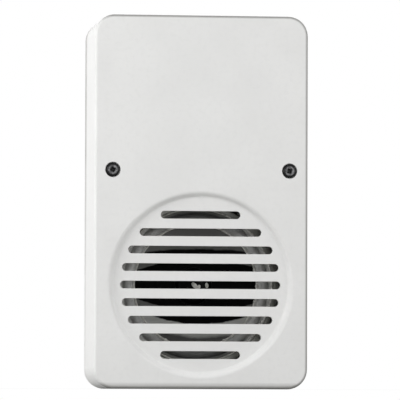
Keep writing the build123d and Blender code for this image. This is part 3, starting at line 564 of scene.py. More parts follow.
class Piece:
    """Gathers the closed bits of one piece in the lying frame, then stands it up and, unless it was given a
    bend, puts it on its body.
    """

    def __init__(self, name, finishes, slot=None, replaces=(), body="case_base", bend=None):
        self.name = name
        self.finishes = finishes
        self.slot = slot
        self.replaces = replaces
        self.body = body
        self.bend = bend
        self.bits = bmesh.new()

    def add(self, bit, finish=None, carve=None):
        """Takes a finished bit in, carved and with one finish all over if those are given."""
        if carve:
            bit = carved(bit, carve)
        bmesh.ops.recalc_face_normals(bit, faces=bit.faces)
        if finish is not None:
            for face in bit.faces:
                face.material_index = finish
        mesh = bpy.data.meshes.new("bit")
        bit.to_mesh(mesh)
        bit.free()
        self.bits.from_mesh(mesh)
        bpy.data.meshes.remove(mesh)

    def turned(self, profile, count=48, place=HERE, tint=None, carve=None, loop=False):
        """A body turned round z from (radius, level) points, or a ring from a closed outline."""
        self.add(skin([circle(r, z, count) for r, z in profile], place, tint, loop), carve=carve)

    def block(self, low, high, bevel, finish=0, carve=None):
        """A box between two corners with its edges rounded."""
        bit = bmesh.new()
        low, high = Vector(low), Vector(high)
        size = Matrix.Diagonal((*(high - low), 1))
        bmesh.ops.create_cube(bit, size=1, matrix=Matrix.Translation((low + high) / 2) @ size)
        if bevel:
            bmesh.ops.bevel(bit, geom=list(bit.edges), offset=bevel, segments=2, profile=0.5, affect="EDGES")
        self.add(bit, finish, carve)

    def wire(self, points, radius, finish=1, count=10):
        """A round wire along points."""
        rings = []
        turn = None
        for index, point in enumerate(points):
            ahead = points[min(index + 1, len(points) - 1)] - points[max(index - 1, 0)]
            if turn is None:
                turn = ahead.to_track_quat("Z", "Y")
            else:
                turn = (turn @ Vector((0, 0, 1))).rotation_difference(ahead) @ turn
            rings.append([point + turn @ p for p in circle(radius, 0, count)])
        self.add(skin(rings), finish)

    def done(self):
        """Makes the object, with its finishes, and puts it on its body, unless it was given a bend: then it
        stays where it is, on no body.
        """
        bmesh.ops.transform(self.bits, matrix=STAND_UP, verts=self.bits.verts)
        for face in self.bits.faces:
            face.smooth = True
        for edge in self.bits.edges:
            edge.smooth = edge.calc_face_angle(math.pi) < SHARP_ANGLE
        mesh = bpy.data.meshes.new(self.name)
        self.bits.to_mesh(mesh)
        self.bits.free()
        made = bpy.data.objects.new(self.name, mesh)
        bpy.context.scene.collection.objects.link(made)
        for finish in self.finishes:
            mesh.materials.append(finish)
        if self.bend:
            start, end = self.bend
            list(self.body)
            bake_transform(made)
        else:
            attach(made, self.body)
        if self.replaces:
            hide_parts(*self.replaces)


def add_bending_ring(name, outline, middle, inner, outer, finish, slot, node):
    """A soft ring in sectors, each made as its own piece."""
    sectors = 12
    steps = 12
    turn = 2 * math.pi / sectors
    for sector in range(sectors):
        start = turn * sector
        out = Vector((math.cos(start + turn / 2), math.sin(start + turn / 2), 0))
        piece = Piece(f"{name}_{sector + 1:02d}", [finish], slot, [node], ("cone", "case_base"),
                      (middle + out * inner, middle + out * outer))
        angles = [start + turn * k / steps for k in range(steps + 1)]
        piece.add(skin([[middle + Vector((r * math.cos(a), r * math.sin(a), z)) for r, z in outline]
                        for a in angles]))
        piece.done()


def cross_cutter(reach, width, top, depth, place, taper=0.45, finish=0):
    """A cross-shaped punch that narrows towards its tip, and gives its cut a finish."""
    arms = [(1, width / reach), (width / reach, width / reach), (width / reach, 1)]
    outline = []
    for quarter in range(4):
        turn = turned_by(math.radians(90 * quarter))
        outline += [turn @ Vector((x * reach, y * reach, 0)) for x, y in arms]
    levels = [(1.0, top + depth * 0.3), (1.0, top), (taper, top - depth)]
    rings = [[p * share + Vector((0, 0, level)) for p in outline] for share, level in levels]
    return skin(rings, place, lambda step, side: finish)


def add_screw(piece, place, shank, length, head, rise, pitch, recess):
    """A pan-head screw: its seat at the place's origin, its head along z and its thread behind."""
    count = 48
    steps_per_turn = 8
    root = shank - pitch * 0.42
    tip = shank * 0.5
    rings = [[Vector((0, 0, -length))]]
    steps = int(length / pitch * steps_per_turn)
    for step in range(steps + 1):
        level = -length + (length - pitch * 0.7) * step / steps
        lead_in = min(1.0, (level + length) / (2 * (shank - tip)) + tip / shank)
        ring = []
        for side in range(count):
            turn = 2 * math.pi * side / count
            phase = (level / pitch - side / count) % 1
            radius = (root + (shank - root) * (1 - abs(2 * phase - 1))) * lead_in
            ring.append(Vector((radius * math.cos(turn), radius * math.sin(turn), level)))
        rings.append(ring)
    side_top = rise * 0.5
    points = [(root, -pitch * 0.4), (root, 0), (head * 0.97, 0), (head, rise * 0.04), (head, side_top)]
    for angle in (18, 36, 52, 66, 78):
        lean = math.radians(angle)
        points.append((head * math.cos(lean) ** 0.62, side_top + (rise - side_top) * math.sin(lean)))
    rings += [circle(r, z, count) for r, z in points + [(0, rise)]]
    punch = cross_cutter(head * recess, head * 0.17, rise, rise * 0.62, place)
    piece.add(skin(rings, place), carve=punch)


def add_screws(piece, spaces, shank, rise, pitch, first, step=0.0, recess=0.52):
    """A screw in each room, its cross turned from the first by a step in radians."""
    for index, space in enumerate(spaces):
        seat = Vector((space.centre.x, space.centre.y, space.high.z - rise))
        place = Matrix.Translation(seat) @ turned_by(first + step * index)
        add_screw(piece, place, shank, space.size.z - rise, space.size.x / 2, rise, pitch, recess)


# Settings that a user would change

def colour_setting(name, description, code):
    """A setting for a colour."""
    return FloatVectorProperty(name=name, description=description, default=linear(code), subtype="COLOR")


def length_setting(name, description, millimetres):
    """A setting for a length."""
    return FloatProperty(name=name, description=description, default=millimetres * MM,
                         subtype="DISTANCE", unit="LENGTH", precision=5)


def angle_setting(name, description, degrees):
    """A setting for an angle."""
    return FloatProperty(name=name, description=description, default=math.radians(degrees),
                         subtype="ANGLE", unit="ROTATION")


def power_setting(name, description, watts):
    """A setting for a lamp's power."""
    return FloatProperty(name=name, description=description, default=watts, unit="POWER")


class ChimeCaseLook(bpy.types.PropertyGroup):
    """Colours and grain of the case."""
    plastic: colour_setting("Cover plastic", "Colour of the front cover's plastic", "#E4E4E3")
    base_plastic: colour_setting("Base plastic", "Colour of the base plate's plastic", "#D3D3CF")
    # This colour paints shade on the cover as well as its dust.
    grime_and_shade: colour_setting("Grime", "Colour of the dust and handling on the cover", "#8C8B88")
    corner: length_setting("Corner radius", "Radius of the cover's corners", 9.3)
    grain: FloatProperty(name="Grain", description="Width of the moulded grain in millimetres", default=0.45)


class ChimeScrewLook(bpy.types.PropertyGroup):
    """Colours and thread of the cover screws."""
    steel: colour_setting("Black steel", "Colour of the blackened steel", "#080809")
    # This colour is a painted highlight on the screw heads.
    steel_highlight: colour_setting("Worn steel", "Colour where the black has worn", "#8A8A8C")
    pitch: length_setting("Thread pitch", "Distance between the cover screws' threads", 0.5)


class ChimeSpeakerLook(bpy.types.PropertyGroup):
    """Colours, painted light and cloth of the loudspeaker."""
    cone: colour_setting("Cone", "Colour of the paper cone", "#0D0D0D")
    surround: colour_setting("Surround", "Colour of the cloth roll round the cone", "#E2E2E0")
    # The cone's grey is painted light: these settings give its colour and place its bands and wedges.
    dust: colour_setting("Dust", "Colour of the dust on the cone", "#7C7C7A")
    upper_light: length_setting("Upper dust", "From the cone's middle up to the dust", 18.2)
    lower_light: length_setting("Lower dust", "From the cone's middle down to the dust", 18.6)
    upper_bow: length_setting("Upper bow", "Radius of the upper dust's edge", 183)
    lower_bow: length_setting("Lower bow", "Radius of the lower dust's edge", 68)
    upper_streak: length_setting("Upper streak", "From the cone's middle up to the dust wedges", 13.1)
    lower_streak: length_setting("Lower streak", "From the cone's middle down to the dust wedges", 12.1)
    streak_bow: length_setting("Streak bow", "Radius of the dust wedges' edge", 88)
    light_offset: length_setting("Dust offset", "How far right of the middle the dust lies", 2.8)
    cloth_spacing: FloatProperty(name="Thread spacing", description="Distance between threads in millimetres",
                                 default=0.6)
    cone_ribs: IntProperty(name="Cone ribs", description="Number of pressed ribs round the cone", default=3)


class ChimeBoardLook(bpy.types.PropertyGroup):
    """Colour and print of the circuit board."""
    laminate: colour_setting("Laminate", "Colour of the board", "#9C6B3F")
    print_width: length_setting("Print width", "Width of the printed outlines", 0.25)


class ChimeStageLook(bpy.types.PropertyGroup):
    """Lamps, floor and camera."""
    key_power: power_setting("Key lamp", "Power of the near lamp at the left", 1.1)
    side_power: power_setting("Side lamp", "Power of the lamp square to the left wall", 5.6)
    fill_power: power_setting("Fill lamp", "Power of the lamp at the front right", 6.2)
    rear_power: power_setting("Rear lamp", "Power of the lamp behind the box", 4.0)
    ambient: FloatProperty(name="Room light", description="Strength of the light from all round",
                           default=0.667)
    floor: colour_setting("Floor", "Colour of the floor", "#9A9A98")
    azimuth: angle_setting("Camera azimuth", "Angle of the camera round the box", -6.86)
    elevation: angle_setting("Camera elevation", "Angle of the camera above the box", -2.49)
    roll: angle_setting("Camera roll", "Lean of the camera", 0.2)
    distance: FloatProperty(name="Camera distance", description="From the camera to the box", default=2.046,
                            subtype="DISTANCE", unit="LENGTH")
    lens: FloatProperty(name="Lens", description="Focal length in millimetres", unit="CAMERA", default=391.3)


# Pieces

class CHIME_OT_case(bpy.types.Operator):
    """Finish the front cover, the base plate and the cable grommet"""
    bl_idname = "chime.case"
    bl_label = "Case"

    def execute(self, context):
        look = context.scene.chime_case
        dress({"front_cover": moulded_abs(look), "base_plate": moulded_abs_base(look),
               "cable_grommet": moulded_rubber()})
        return {"FINISHED"}


class CHIME_OT_cover_screws(bpy.types.Operator):
    """Cut the two cover screws, with thread and cross recess, and finish their washers"""
    bl_idname = "chime.cover_screws"
    bl_label = "Cover screws"

    def execute(self, context):
        look = context.scene.chime_screws
        steel = blackened_steel(look)
        for side, lean in (("left", 14), ("right", 38)):
            node = f"cover_screw_{side}"
            screw = Piece(f"{node}_threaded", [steel], "black_steel", [node], f"{side}_screw")
            add_screws(screw, [room(node)], shank=1.5, rise=2.2, pitch=look.pitch / MM,
                       first=math.radians(lean), recess=0.5)
            screw.done()
        dress({"cover_screw_washers": vulcanised_fibre()})
        return {"FINISHED"}


class CHIME_OT_cone(bpy.types.Operator):
    """Form the paper cone, its dust cap, cloth surround, spider and voice coil"""
    bl_idname = "chime.cone"
    bl_label = "Cone"

    def execute(self, context):
        look = context.scene.chime_speaker
        cone = room("speaker_cone")
        former = room("voice_coil_former")
        middle = Matrix.Translation((cone.centre.x, cone.centre.y, 0))
        glue = hardened_glue()
        self.make_cone(look, cone, former, middle)
        self.make_cap(middle, glue)
        self.make_surround(look, cone, middle, glue)
        self.make_spider(former, middle)
        self.make_coil(former, middle)
        return {"FINISHED"}

    def make_cone(self, look, cone, former, middle):
        """The cone, with ribs pressed round it and a flat rim."""
        paper = 0.5
        rim = 1.2
        rib_height = 0.22
        swell = 0.25
        outer = cone.size.x / 2
        inner = former.size.x / 2
        low = cone.low.z + paper
        high = cone.high.z
        steps = 60
        face = []
        for step in range(steps + 1):
            share = step / steps
            level = low + share * (high - low) - math.sin(math.pi * share) * swell
            if 0.15 < share < 0.95:
                level += max(0.0, math.cos(2 * math.pi * share * (look.cone_ribs + 1))) ** 6 * rib_height
            face.append((inner + share * (outer - rim - inner), min(level, high)))
        back = [(r, z - paper) for r, z in reversed(face)]
        piece = Piece("cone_paper", [pressed_pulp(look)], "cone_paper", ["speaker_cone"], "cone")
        piece.turned(face + [(outer, high), (outer, high - paper)] + back, 128, middle, loop=True)
        piece.done()

    def make_cap(self, middle, glue):
        """The dome over the coil, a thin shell on a glued foot, with pale drops of glue on it that paint its
        highlights.
        """
        cap = room("dust_cap")
        radius = cap.size.x / 2
        wall = 0.4
        foot = 0.5
        crown = radius - foot
        rise = cap.size.z
        angles = [math.radians(a) for a in range(0, 90, 6)]
        outer = [(crown * math.cos(a), cap.low.z + wall + (rise - wall) * math.sin(a)) for a in angles]
        inner = [(r - wall, z - wall) for r, z in outer[:-1]]
        shell = [(0, cap.high.z - wall)] + inner[::-1] + [(radius, cap.low.z), (radius, cap.low.z + wall)]
        piece = Piece("dust_cap_dome", [lacquered_film(), glue], "dust_cap_film", ["dust_cap"], "cone")
        piece.turned(shell + outer + [(0, cap.high.z)], 96, middle)
        # Pale drops of glue, placed to paint the dome's highlights
        for across, up, size, spread in ((0.2, 0.2, 1.5, 1.3), (2.2, -0.4, 1.1, 1.1), (6.0, 0.4, 1.3, 1.0)):
            reach = Vector((across, up, 0))
            level = cap.low.z + wall + (rise - wall) * math.sqrt(1 - (reach.length / crown) ** 2)
            lean = Vector((across / crown ** 2, up / crown ** 2, level / rise ** 2 * 0.2)).normalized()
            place = middle @ Matrix.Translation(reach + Vector((0, 0, level)))
            place = place @ lean.to_track_quat("Z", "Y").to_matrix().to_4x4()
            self.add_glint_drop(piece, place @ Matrix.Diagonal((size * spread, size * 0.7, 0.6, 1)), 1)
        piece.done()

    def add_glint_drop(self, piece, place, finish):
        """A pale drop of glue, a millimetre in radius, put where it paints a glint."""
        drop = [(0, -0.1), (1.0, -0.1), (0.9, 0.12), (0.6, 0.26), (0.25, 0.33), (0, 0.34)]
        piece.turned(drop, 24, place, lambda step, side: finish)

    def make_surround(self, look, cone, middle, glue):
        """The half roll that carries the cone's edge, with a bead of glue at each side and pale drops on the
        beads that paint glints.
        """
        ring = room("cone_surround")
        lip = 0.4
        lap = 0.8
        seat = 2.4
        outer = ring.size.x / 2
        inner = cone.size.x / 2 - lap
        roll = ring.size.z - lip / 2
        top = (cone.size.x / 2 + outer - 1.9) / 2
        base = ring.low.z
        over = arc((top, base), roll + lip / 2, 180, 0, 24)
        under = arc((top, base), roll - lip / 2, 0, 180, 24)
        outline = [(inner, base), (inner, base + lip), (top - roll - lip / 4, base + lip)] + over[2:-2]
        outline += [(top + roll + lip / 4, base + lip), (outer, base + lip), (outer, base)] + under
        add_bending_ring("surround_roll", outline, middle.to_translation(), inner, outer - seat,
                         doped_cloth(look), "surround_cloth", "cone_surround")
        gasket = room("speaker_gasket")
        thick = 0.45
        # Each bead: its body, its radius, its level and the angles of its glint drops in degrees
        for name, body, radius, level, drops in (
                ("inner", "cone", inner + thick, base + lip, (15, 0, -14, -119, -62)),
                ("outer", "case_base", gasket.size.x / 2 - thick, gasket.high.z, (1, -11, -28, -43))):
            bead = Piece(f"glue_bead_{name}", [glue], body=body)
            section = arc((radius, level), thick, 0, 180, 8) + [(radius, level - HAIR)]
            bead.turned(section, 128, middle, loop=True)
            # Pale drops on the bead, placed to paint glints
            for drop in drops:
                place = turned_by(math.radians(drop)) @ Matrix.Translation((radius, 0, level))
                self.add_glint_drop(bead, middle @ place @ Matrix.Diagonal((0.8, 1.1, 2.0, 1)), 0)
            bead.done()

    def make_spider(self, former, middle):
        """The cloth disc whose rounded waves centre the coil."""
        ring = room("spider")
        cloth = 0.28
        outer = ring.size.x / 2
        inner = former.size.x / 2 + 0.05
        waves = 4
        steps = 72
        face = []
        for step in range(steps + 1):
            share = step / steps
            flat = max(0.0, min(1.0, share / 0.08, (1 - share) / 0.12))
            wave = (1 - math.cos(2 * math.pi * waves * share)) / 2 * (ring.size.z - cloth) * flat
            face.append((inner + share * (outer - inner), ring.low.z + cloth + wave))
        back = [(r, z - cloth) for r, z in reversed(face)]
        add_bending_ring("spider_waves", face + back, middle.to_translation(), inner, outer * 0.93,
                         resined_cotton(), "spider_cloth", "spider")

    def make_coil(self, former, middle):
        """The paper former and the turns of wire wound on it."""
        dress({"voice_coil_former": varnished_kraft()})
        coil = room("voice_coil")
        wire = 0.31
        outer = coil.size.x / 2
        inner = former.size.x / 2
        turns = int(coil.size.z / wire)
        outline = [(inner, coil.high.z), (inner, coil.low.z)]
        for turn in range(turns):
            level = coil.low.z + coil.size.z * (turn + 0.5) / turns
            outline += arc((outer - wire / 2, level), wire / 2, -80, 80, 4)
        piece = Piece("coil_winding", [enamelled_copper()], "copper_wire", ["voice_coil"], "cone")
        piece.turned(outline, 72, middle, loop=True)
        piece.done()


class CHIME_OT_motor(bpy.types.Operator):
    """Finish the speaker's frame, gasket, magnet, plates and tags"""
    bl_idname = "chime.motor"
    bl_label = "Speaker frame and magnet"

    def execute(self, context):
        plates = zinc_plate("zinc_plated_plates", 6, "#9C9C98", "#BDBDB8")
        tinned = tinned_wire()
        dress({"speaker_basket": zinc_plate("zinc_plated_basket", 9), "speaker_gasket": pressed_board(),
               "speaker_magnet": sintered_ferrite(), "magnet_front_plate": plates, "magnet_yoke": plates,
               "speaker_tag_board": phenolic_laminate(context.scene.chime_board), "speaker_tags": tinned})
        solder = Piece("tag_solder", [tinned], "tinned")
        blob = [(1.05, 0.0), (0.95, 0.28), (0.7, 0.55), (0.35, 0.72), (0, 0.78)]
        for tag in rooms("speaker_tags"):
            place = Matrix.Translation((tag.centre.x, tag.high.y - 1.3, tag.low.z + 0.4))
            solder.turned(blob, 24, place)
        solder.done()
        return {"FINISHED"}


class CHIME_OT_clips(bpy.types.Operator):
    """Finish the speaker's clips and cut their screws"""
    bl_idname = "chime.clips"
    bl_label = "Speaker clips"

    def execute(self, context):
        plate = zinc_plate("zinc_plated_clips", 4)
        dress({"speaker_clips": plate})
        screws = Piece("clip_screws_threaded", [plate], "pressed_steel", ["speaker_clip_screws"])
        add_screws(screws, rooms("speaker_clip_screws"), shank=1.3, rise=1.7, pitch=0.9, first=0.0, step=0.7)
        screws.done()
        return {"FINISHED"}


class CHIME_OT_board(bpy.types.Operator):
    """Finish the circuit board, print the outlines of its parts and cut its screws"""
    bl_idname = "chime.board"
    bl_label = "Circuit board"

    def execute(self, context):
        look = context.scene.chime_board
        dress({"circuit_board": phenolic_laminate(look)})
        self.print_outlines(look.print_width / MM)
        plate = zinc_plate("zinc_plated_board_screws", 3)
        screws = Piece("board_screws_threaded", [plate], "pressed_steel", ["board_screws"])
        add_screws(screws, rooms("board_screws"), shank=1.2, rise=1.5, pitch=0.8, first=0.5, step=0.9)
        screws.done()
        return {"FINISHED"}

    def print_outlines(self, width):
        """White outlines on the board round its parts."""
        ink = Piece("board_print", [printed_ink()])
        level = room("circuit_board").high.z
        gap = 0.5
        for node in ("terminal_block", "tune_chip", "amplifier_chip", "switch_body", "volume_body",
                     "speaker_socket"):
            self.frame_round(ink, room(node), gap, width, level)
        for space in rooms("resistors"):
            self.frame_round(ink, space, gap * 0.6, width, level)
        for node in ("reservoir_capacitor", "coupling_capacitor", "small_capacitors", "bridge_rectifier"):
            for space in rooms(node):
                radius = space.size.x / 2 + gap
                outline = [(radius, 0), (radius, HAIR), (radius + width, HAIR), (radius + width, 0)]
                place = Matrix.Translation((space.centre.x, space.centre.y, level))
                ink.turned(outline, 48, place, loop=True)
        ink.done()

    def frame_round(self, ink, space, gap, width, level):
        """Four printed bars round a part's room."""
        left = space.low.x - gap
        right = space.high.x + gap
        low = space.low.y - gap
        high = space.high.y + gap
        for start, end in (((left, low), (right, low + width)), ((left, high - width), (right, high)),
                           ((left, low + width), (left + width, high - width)),
                           ((right - width, low + width), (right, high - width))):
            ink.block((*start, level), (*end, level + HAIR), 0)


class CHIME_OT_terminals(bpy.types.Operator):
    """Finish the terminal block and its clamp screws"""
    bl_idname = "chime.terminals"
    bl_label = "Terminals"

    def execute(self, context):
        dress({"terminal_block": moulded_part("moulded_polyamide_green", "#2E7A48", 0.35, coat=0.1),
               "terminal_screws": zinc_plate("zinc_plated_clamp_screws", 2)})
        return {"FINISHED"}


class CHIME_OT_chips(bpy.types.Operator):
    """Mould the chips over their legs, and finish the socket and the bridge rectifier"""
    bl_idname = "chime.chips"
    bl_label = "Chips"

    def execute(self, context):
        epoxy = moulded_part("moulded_epoxy_black", "#232326", 0.55, depth=0.012)
        tinned = tinned_wire()
        for node, pins in (("tune_chip", 8), ("amplifier_chip", 4)):
            self.make_chip(node, pins, epoxy, tinned)
        dress({"chip_socket": moulded_part("moulded_polyester_black", "#2B2B2C", 0.4)})
        self.make_rectifier(epoxy, tinned)
        return {"FINISHED"}

    def make_chip(self, node, pins, epoxy, tinned):
        """A chip with a pressed body, a notch, a dimple and two rows of narrowing legs."""
        space = room(node)
        pitch = 2.54
        lift = 0.6
        half_width = 3.2
        length = pins * pitch - 0.6
        leg = 0.3
        bend = space.low.z + lift + 1.65
        row = 7.62 / 2
        notch_radius = 1.0
        x, y = space.centre.x, space.centre.y
        low = Vector((x - length / 2, y - half_width, space.low.z + lift))
        high = Vector((x + length / 2, y + half_width, space.high.z))
        chip = Piece(f"{node}_moulding", [epoxy, tinned], "chip_plastic", [node])
        notch = bmesh.new()
        bmesh.ops.create_cone(notch, cap_ends=True, segments=32, radius1=notch_radius, radius2=notch_radius,
                              depth=1.2, matrix=Matrix.Translation((low.x, y, high.z)))
        chip.block(low, high, 0.22, carve=notch)
        spot = Matrix.Translation((low.x + 1.6, low.y + 1.4, high.z))
        chip.turned([(0, 0), (0.45, 0), (0.5, HAIR), (0, HAIR)], 24, spot, lambda step, side: 1)
        for pin in range(pins):
            across = x + (pin - (pins - 1) / 2) * pitch
            for side in (-1, 1):
                edge = y + side * half_width
                out = y + side * (row + leg / 2)
                inside = y + side * (row - leg / 2)
                # A leg's shoulder, wide part and narrow foot: half width, inner side, bottom, top, bevel
                for half, near, foot, top, bevel in ((0.65, edge, bend, bend + leg, 0.05),
                                                     (0.65, inside, bend - 0.9, bend + leg / 2, 0.05),
                                                     (0.28, inside, space.low.z, bend - 0.8, 0.04)):
                    chip.block((across - half, min(near, out), foot), (across + half, max(near, out), top),
                               bevel, 1)
        chip.done()

    def make_rectifier(self, epoxy, tinned):
        """The round bridge rectifier on its four wires."""
        space = room("bridge_rectifier")
        radius = space.size.x / 2
        low = 1.0
        top = space.size.z
        edge = 0.6
        profile = [(0, low), (radius - edge / 3, low), (radius, low + edge / 3), (radius, top - edge)]
        profile += arc((radius - edge, top - edge), edge, 15, 90, 5) + [(radius * 0.5, top), (0, top)]
        piece = Piece("rectifier_moulding", [epoxy, tinned], "rectifier_plastic", ["bridge_rectifier"])
        piece.turned(profile, 48, Matrix.Translation(space.foot))
        for turn in range(4):
            foot = space.foot + turned_by(math.radians(45 + 90 * turn)) @ Vector((radius * 0.7, 0, 0))
            piece.wire([foot, foot + Vector((0, 0, low * 1.5))], 0.35)
        piece.done()


class CHIME_OT_capacitors(bpy.types.Operator):
    """Crimp and sleeve the round capacitors"""
    bl_idname = "chime.capacitors"
    bl_label = "Capacitors"

    def execute(self, context):
        aluminium = zinc_plate("drawn_aluminium_can", 3, "#B4B4B2", "#D6D6D3")
        stripe = moulded_part("printed_sleeve_stripe", "#B9BCC4", 0.35)
        blue, black = [moulded_part(f"shrunk_sleeve_{name}", code, 0.28, spot=3.0, depth=0.01, coat=0.3)
                       for name, code in (("blue", "#27407F"), ("black", "#232327"))]
        rubber = moulded_rubber()
        for node, sleeve, slot in (("reservoir_capacitor", blue, "can_sleeve_blue"),
                                   ("coupling_capacitor", black, "can_sleeve_black"),
                                   ("small_capacitors", black, "can_sleeve_black")):
            cans = Piece(f"{node}_sleeved", [sleeve, stripe, aluminium, rubber], slot, [node])
            for index, space in enumerate(rooms(node)):
                self.make_can(cans, space, math.radians(40 + 110 * index))
            cans.done()
        return {"FINISHED"}

    def make_can(self, cans, space, turn):
        """A can with its crimped neck, its sleeve's shrunk lip and its scored top."""
        radius = space.size.x / 2
        neck = radius * 0.93
        top = space.size.z
        edge = radius * 0.14
        crimp = 2.4
        lip = radius * 0.80
        sunk = top - 0.12
        count = 72
        profile = [(0, 0), (radius * 0.9, 0), (radius, 0.25), (radius, crimp - 0.6), (neck, crimp - 0.2)]
        profile += [(neck, crimp + 0.1), (radius, crimp + 0.6), (radius, top - edge)]
        profile += arc((radius - edge, top - edge), edge, 20, 90, 5)
        sleeve_steps = len(profile) - 1
        profile += [(lip, top), (lip * 0.985, sunk), (0, sunk)]

        def tint(step, side):
            """Rubber below, metal on top, and a stripe down the sleeve."""
            if step == 0:
                return 3
            if step > sleeve_steps:
                return 2
            return 1 if side < count * 0.16 and step > 1 else 0

        place = Matrix.Translation(space.foot) @ turned_by(turn)
        score = cross_cutter(lip * 0.8, 0.09, top, 0.28, place, 0.9, 2)
        cans.turned(profile, count, place, tint, score)


class CHIME_OT_resistors(bpy.types.Operator):
    """Wind the resistors' bodies with colour bands on bent wires"""
    bl_idname = "chime.resistors"
    bl_label = "Resistors"

    def execute(self, context):
        paints = {"brown": "#5B3420", "black": "#1A1A1A", "red": "#A02A22", "orange": "#C9662B",
                  "yellow": "#C9A83A", "green": "#3C6B3C", "violet": "#5C4177", "gold": "#9A7B3C"}
        finishes = [dipped_ceramic("lacquered_resistor_body", "#CDB88E"), tinned_wire()]
        first = len(finishes)
        finishes += [moulded_part(f"painted_band_{name}", code, 0.3) for name, code in paints.items()]
        codes = [(0, 1, 2), (4, 6, 3), (0, 1, 3), (2, 2, 2), (0, 5, 4), (3, 3, 2), (4, 6, 2), (0, 1, 4),
                 (2, 6, 1), (0, 0, 3), (5, 0, 2)]
        for index, space in enumerate(rooms("resistors")):
            bands = [first + code for code in codes[index % len(codes)]] + [len(finishes) - 1]
            piece = Piece(f"resistor_{index + 1}", finishes, "resistor_lacquer", ["resistors"])
            self.make_resistor(piece, space, bands)
            piece.done()
        return {"FINISHED"}

    def make_resistor(self, piece, space, bands):
        """One body with swelled ends and four bands, and its two wires bent down to the board."""
        along_x = space.size.x > space.size.y
        span = max(space.size.x, space.size.y) / 2 - 0.3
        radius = min(space.size.x, space.size.y) / 2
        half = 3.15
        centre = Vector((space.centre.x, space.centre.y, space.high.z - radius))
        marks = [-0.62, -0.26, 0.06, 0.62]
        width = 0.085
        # One end of the body: shares of its half length and of its radius
        stops = [(-1.0, 0.0), (-0.99, 0.35), (-0.95, 0.72), (-0.86, 0.96), (-0.76, 1.0), (-0.66, 0.99),
                 (-0.52, 0.9), (-0.42, 0.84)]
        waist = stops[-1][1]
        cuts = {s for s, size in stops} | {-s for s, size in stops}
        cuts |= {mark - width for mark in marks} | {mark + width for mark in marks}
        profile = []
        for cut in sorted(cuts):
            size = waist
            for (start, low), (end, high) in zip(stops, stops[1:]):
                if start <= -abs(cut) <= end:
                    size = low + (high - low) * (-abs(cut) - start) / (end - start)
                    break
            profile.append((radius * size, cut * half))

        def tint(step, side):
            """The band that lies at a step, or the body."""
            middle = (profile[step][1] + profile[step + 1][1]) / 2 / half
            return next((band for mark, band in zip(marks, bands) if abs(middle - mark) < width * 0.9), 0)

        lie = turned_by(math.radians(90), "Y" if along_x else "X")
        piece.turned(profile, 32, Matrix.Translation(centre) @ lie, tint)
        way = Vector((1, 0, 0)) if along_x else Vector((0, 1, 0))
        bend = 0.55
        for side in (-1, 1):
            corner = centre + way * side * (span - bend) + Vector((0, 0, -bend))
            wire = [centre + way * side * half * 0.97]
            for angle in (90, 67, 45, 23, 0):
                t = math.radians(angle)
                wire.append(corner + way * side * bend * math.cos(t) + Vector((0, 0, bend * math.sin(t))))
            wire.append(Vector((wire[-1].x, wire[-1].y, space.low.z)))
            piece.wire(wire, 0.28)


class CHIME_OT_small_parts(bpy.types.Operator):
    """Dip the disc capacitors and mould the transistors"""
    bl_idname = "chime.small_parts"
    bl_label = "Disc capacitors and transistors"

    def execute(self, context):
        tinned = tinned_wire()
        ceramic = dipped_ceramic("dipped_disc_ochre", "#C5792B")
        epoxy = moulded_part("moulded_epoxy_transistor", "#1F1F21", 0.6)
        for name, body, slot, make in (("disc_capacitor", ceramic, "disc_ceramic", self.make_disc),
                                       ("transistor", epoxy, "chip_plastic", self.make_transistor)):
            for index, space in enumerate(rooms(f"{name}s")):
                piece = Piece(f"{name}_{index + 1}", [body, tinned], slot, [f"{name}s"])
                make(piece, space)
                piece.done()
        return {"FINISHED"}

    def make_disc(self, piece, space):
        """A lens-shaped disc standing on two wires, with the dip run down on them."""
        radius = space.size.x / 2
        thick = space.size.y / 2
        centre = Vector((space.centre.x, space.centre.y, space.high.z - radius))
        turns = [math.radians(a) for a in range(-90, 91, 12)]
        lens = [(radius * math.cos(t) ** 0.55 if abs(t) < 1.57 else 0, thick * math.sin(t)) for t in turns]
        piece.turned(lens, 48, Matrix.Translation(centre) @ turned_by(math.radians(90), "X"))
        run = [(0, -0.9), (0.3, -0.9), (0.42, -0.5), (0.55, 0), (0, 0.2)]
        for side in (-1, 1):
            top = centre + Vector((side * radius / 2, 0, -radius * 0.75))
            piece.wire([Vector((top.x, top.y, space.low.z)), top], 0.28)
            piece.turned(run, 16, Matrix.Translation(top))

    def make_transistor(self, piece, space):
        """A round body with a flat face, narrowing a little, on three flat legs."""
        radius = space.size.x / 2
        flat = space.size.y - radius
        height = 4.8
        leg = Vector((0.25, 0.2))       # half of a leg's width and thickness
        inside = 0.3
        foot = Vector((space.centre.x, space.high.y - radius, space.high.z - height))
        start = math.degrees(math.asin(-flat / radius))
        outline = [Vector((*spot, 0)) for spot in arc((0, 0), radius, start, 180 - start, 30)]
        levels = [(0.97, 0), (1.0, 0.15), (1.0, height * 0.55), (0.97, height - 0.2), (0.93, height)]
        piece.add(skin([[foot + p * share + Vector((0, 0, level)) for p in outline]
                        for share, level in levels]))
        for side in (-1, 0, 1):
            x = foot.x + side * radius / 2
            low = (x - leg.x, foot.y - leg.y, space.low.z)
            piece.block(low, (x + leg.x, foot.y + leg.y, foot.z + inside), 0.05, 1)


class CHIME_OT_controls(bpy.types.Operator):
    """Finish the volume trimmer, its knob, and the tune selector"""
    bl_idname = "chime.controls"
    bl_label = "Volume and tune controls"

    def execute(self, context):
        dress({"volume_body": moulded_part("moulded_thermoplastic_blue", "#38529B", 0.4),
               "volume_knob": moulded_part("moulded_acetal_white", "#E6E5DF", 0.35, spot=3.0),
               "switch_body": zinc_plate("tinned_switch_can", 4, "#B0B0AC", "#D0D0CC"),
               "switch_slider": moulded_part("moulded_acetal_black", "#1D1D1E", 0.35)})
        return {"FINISHED"}


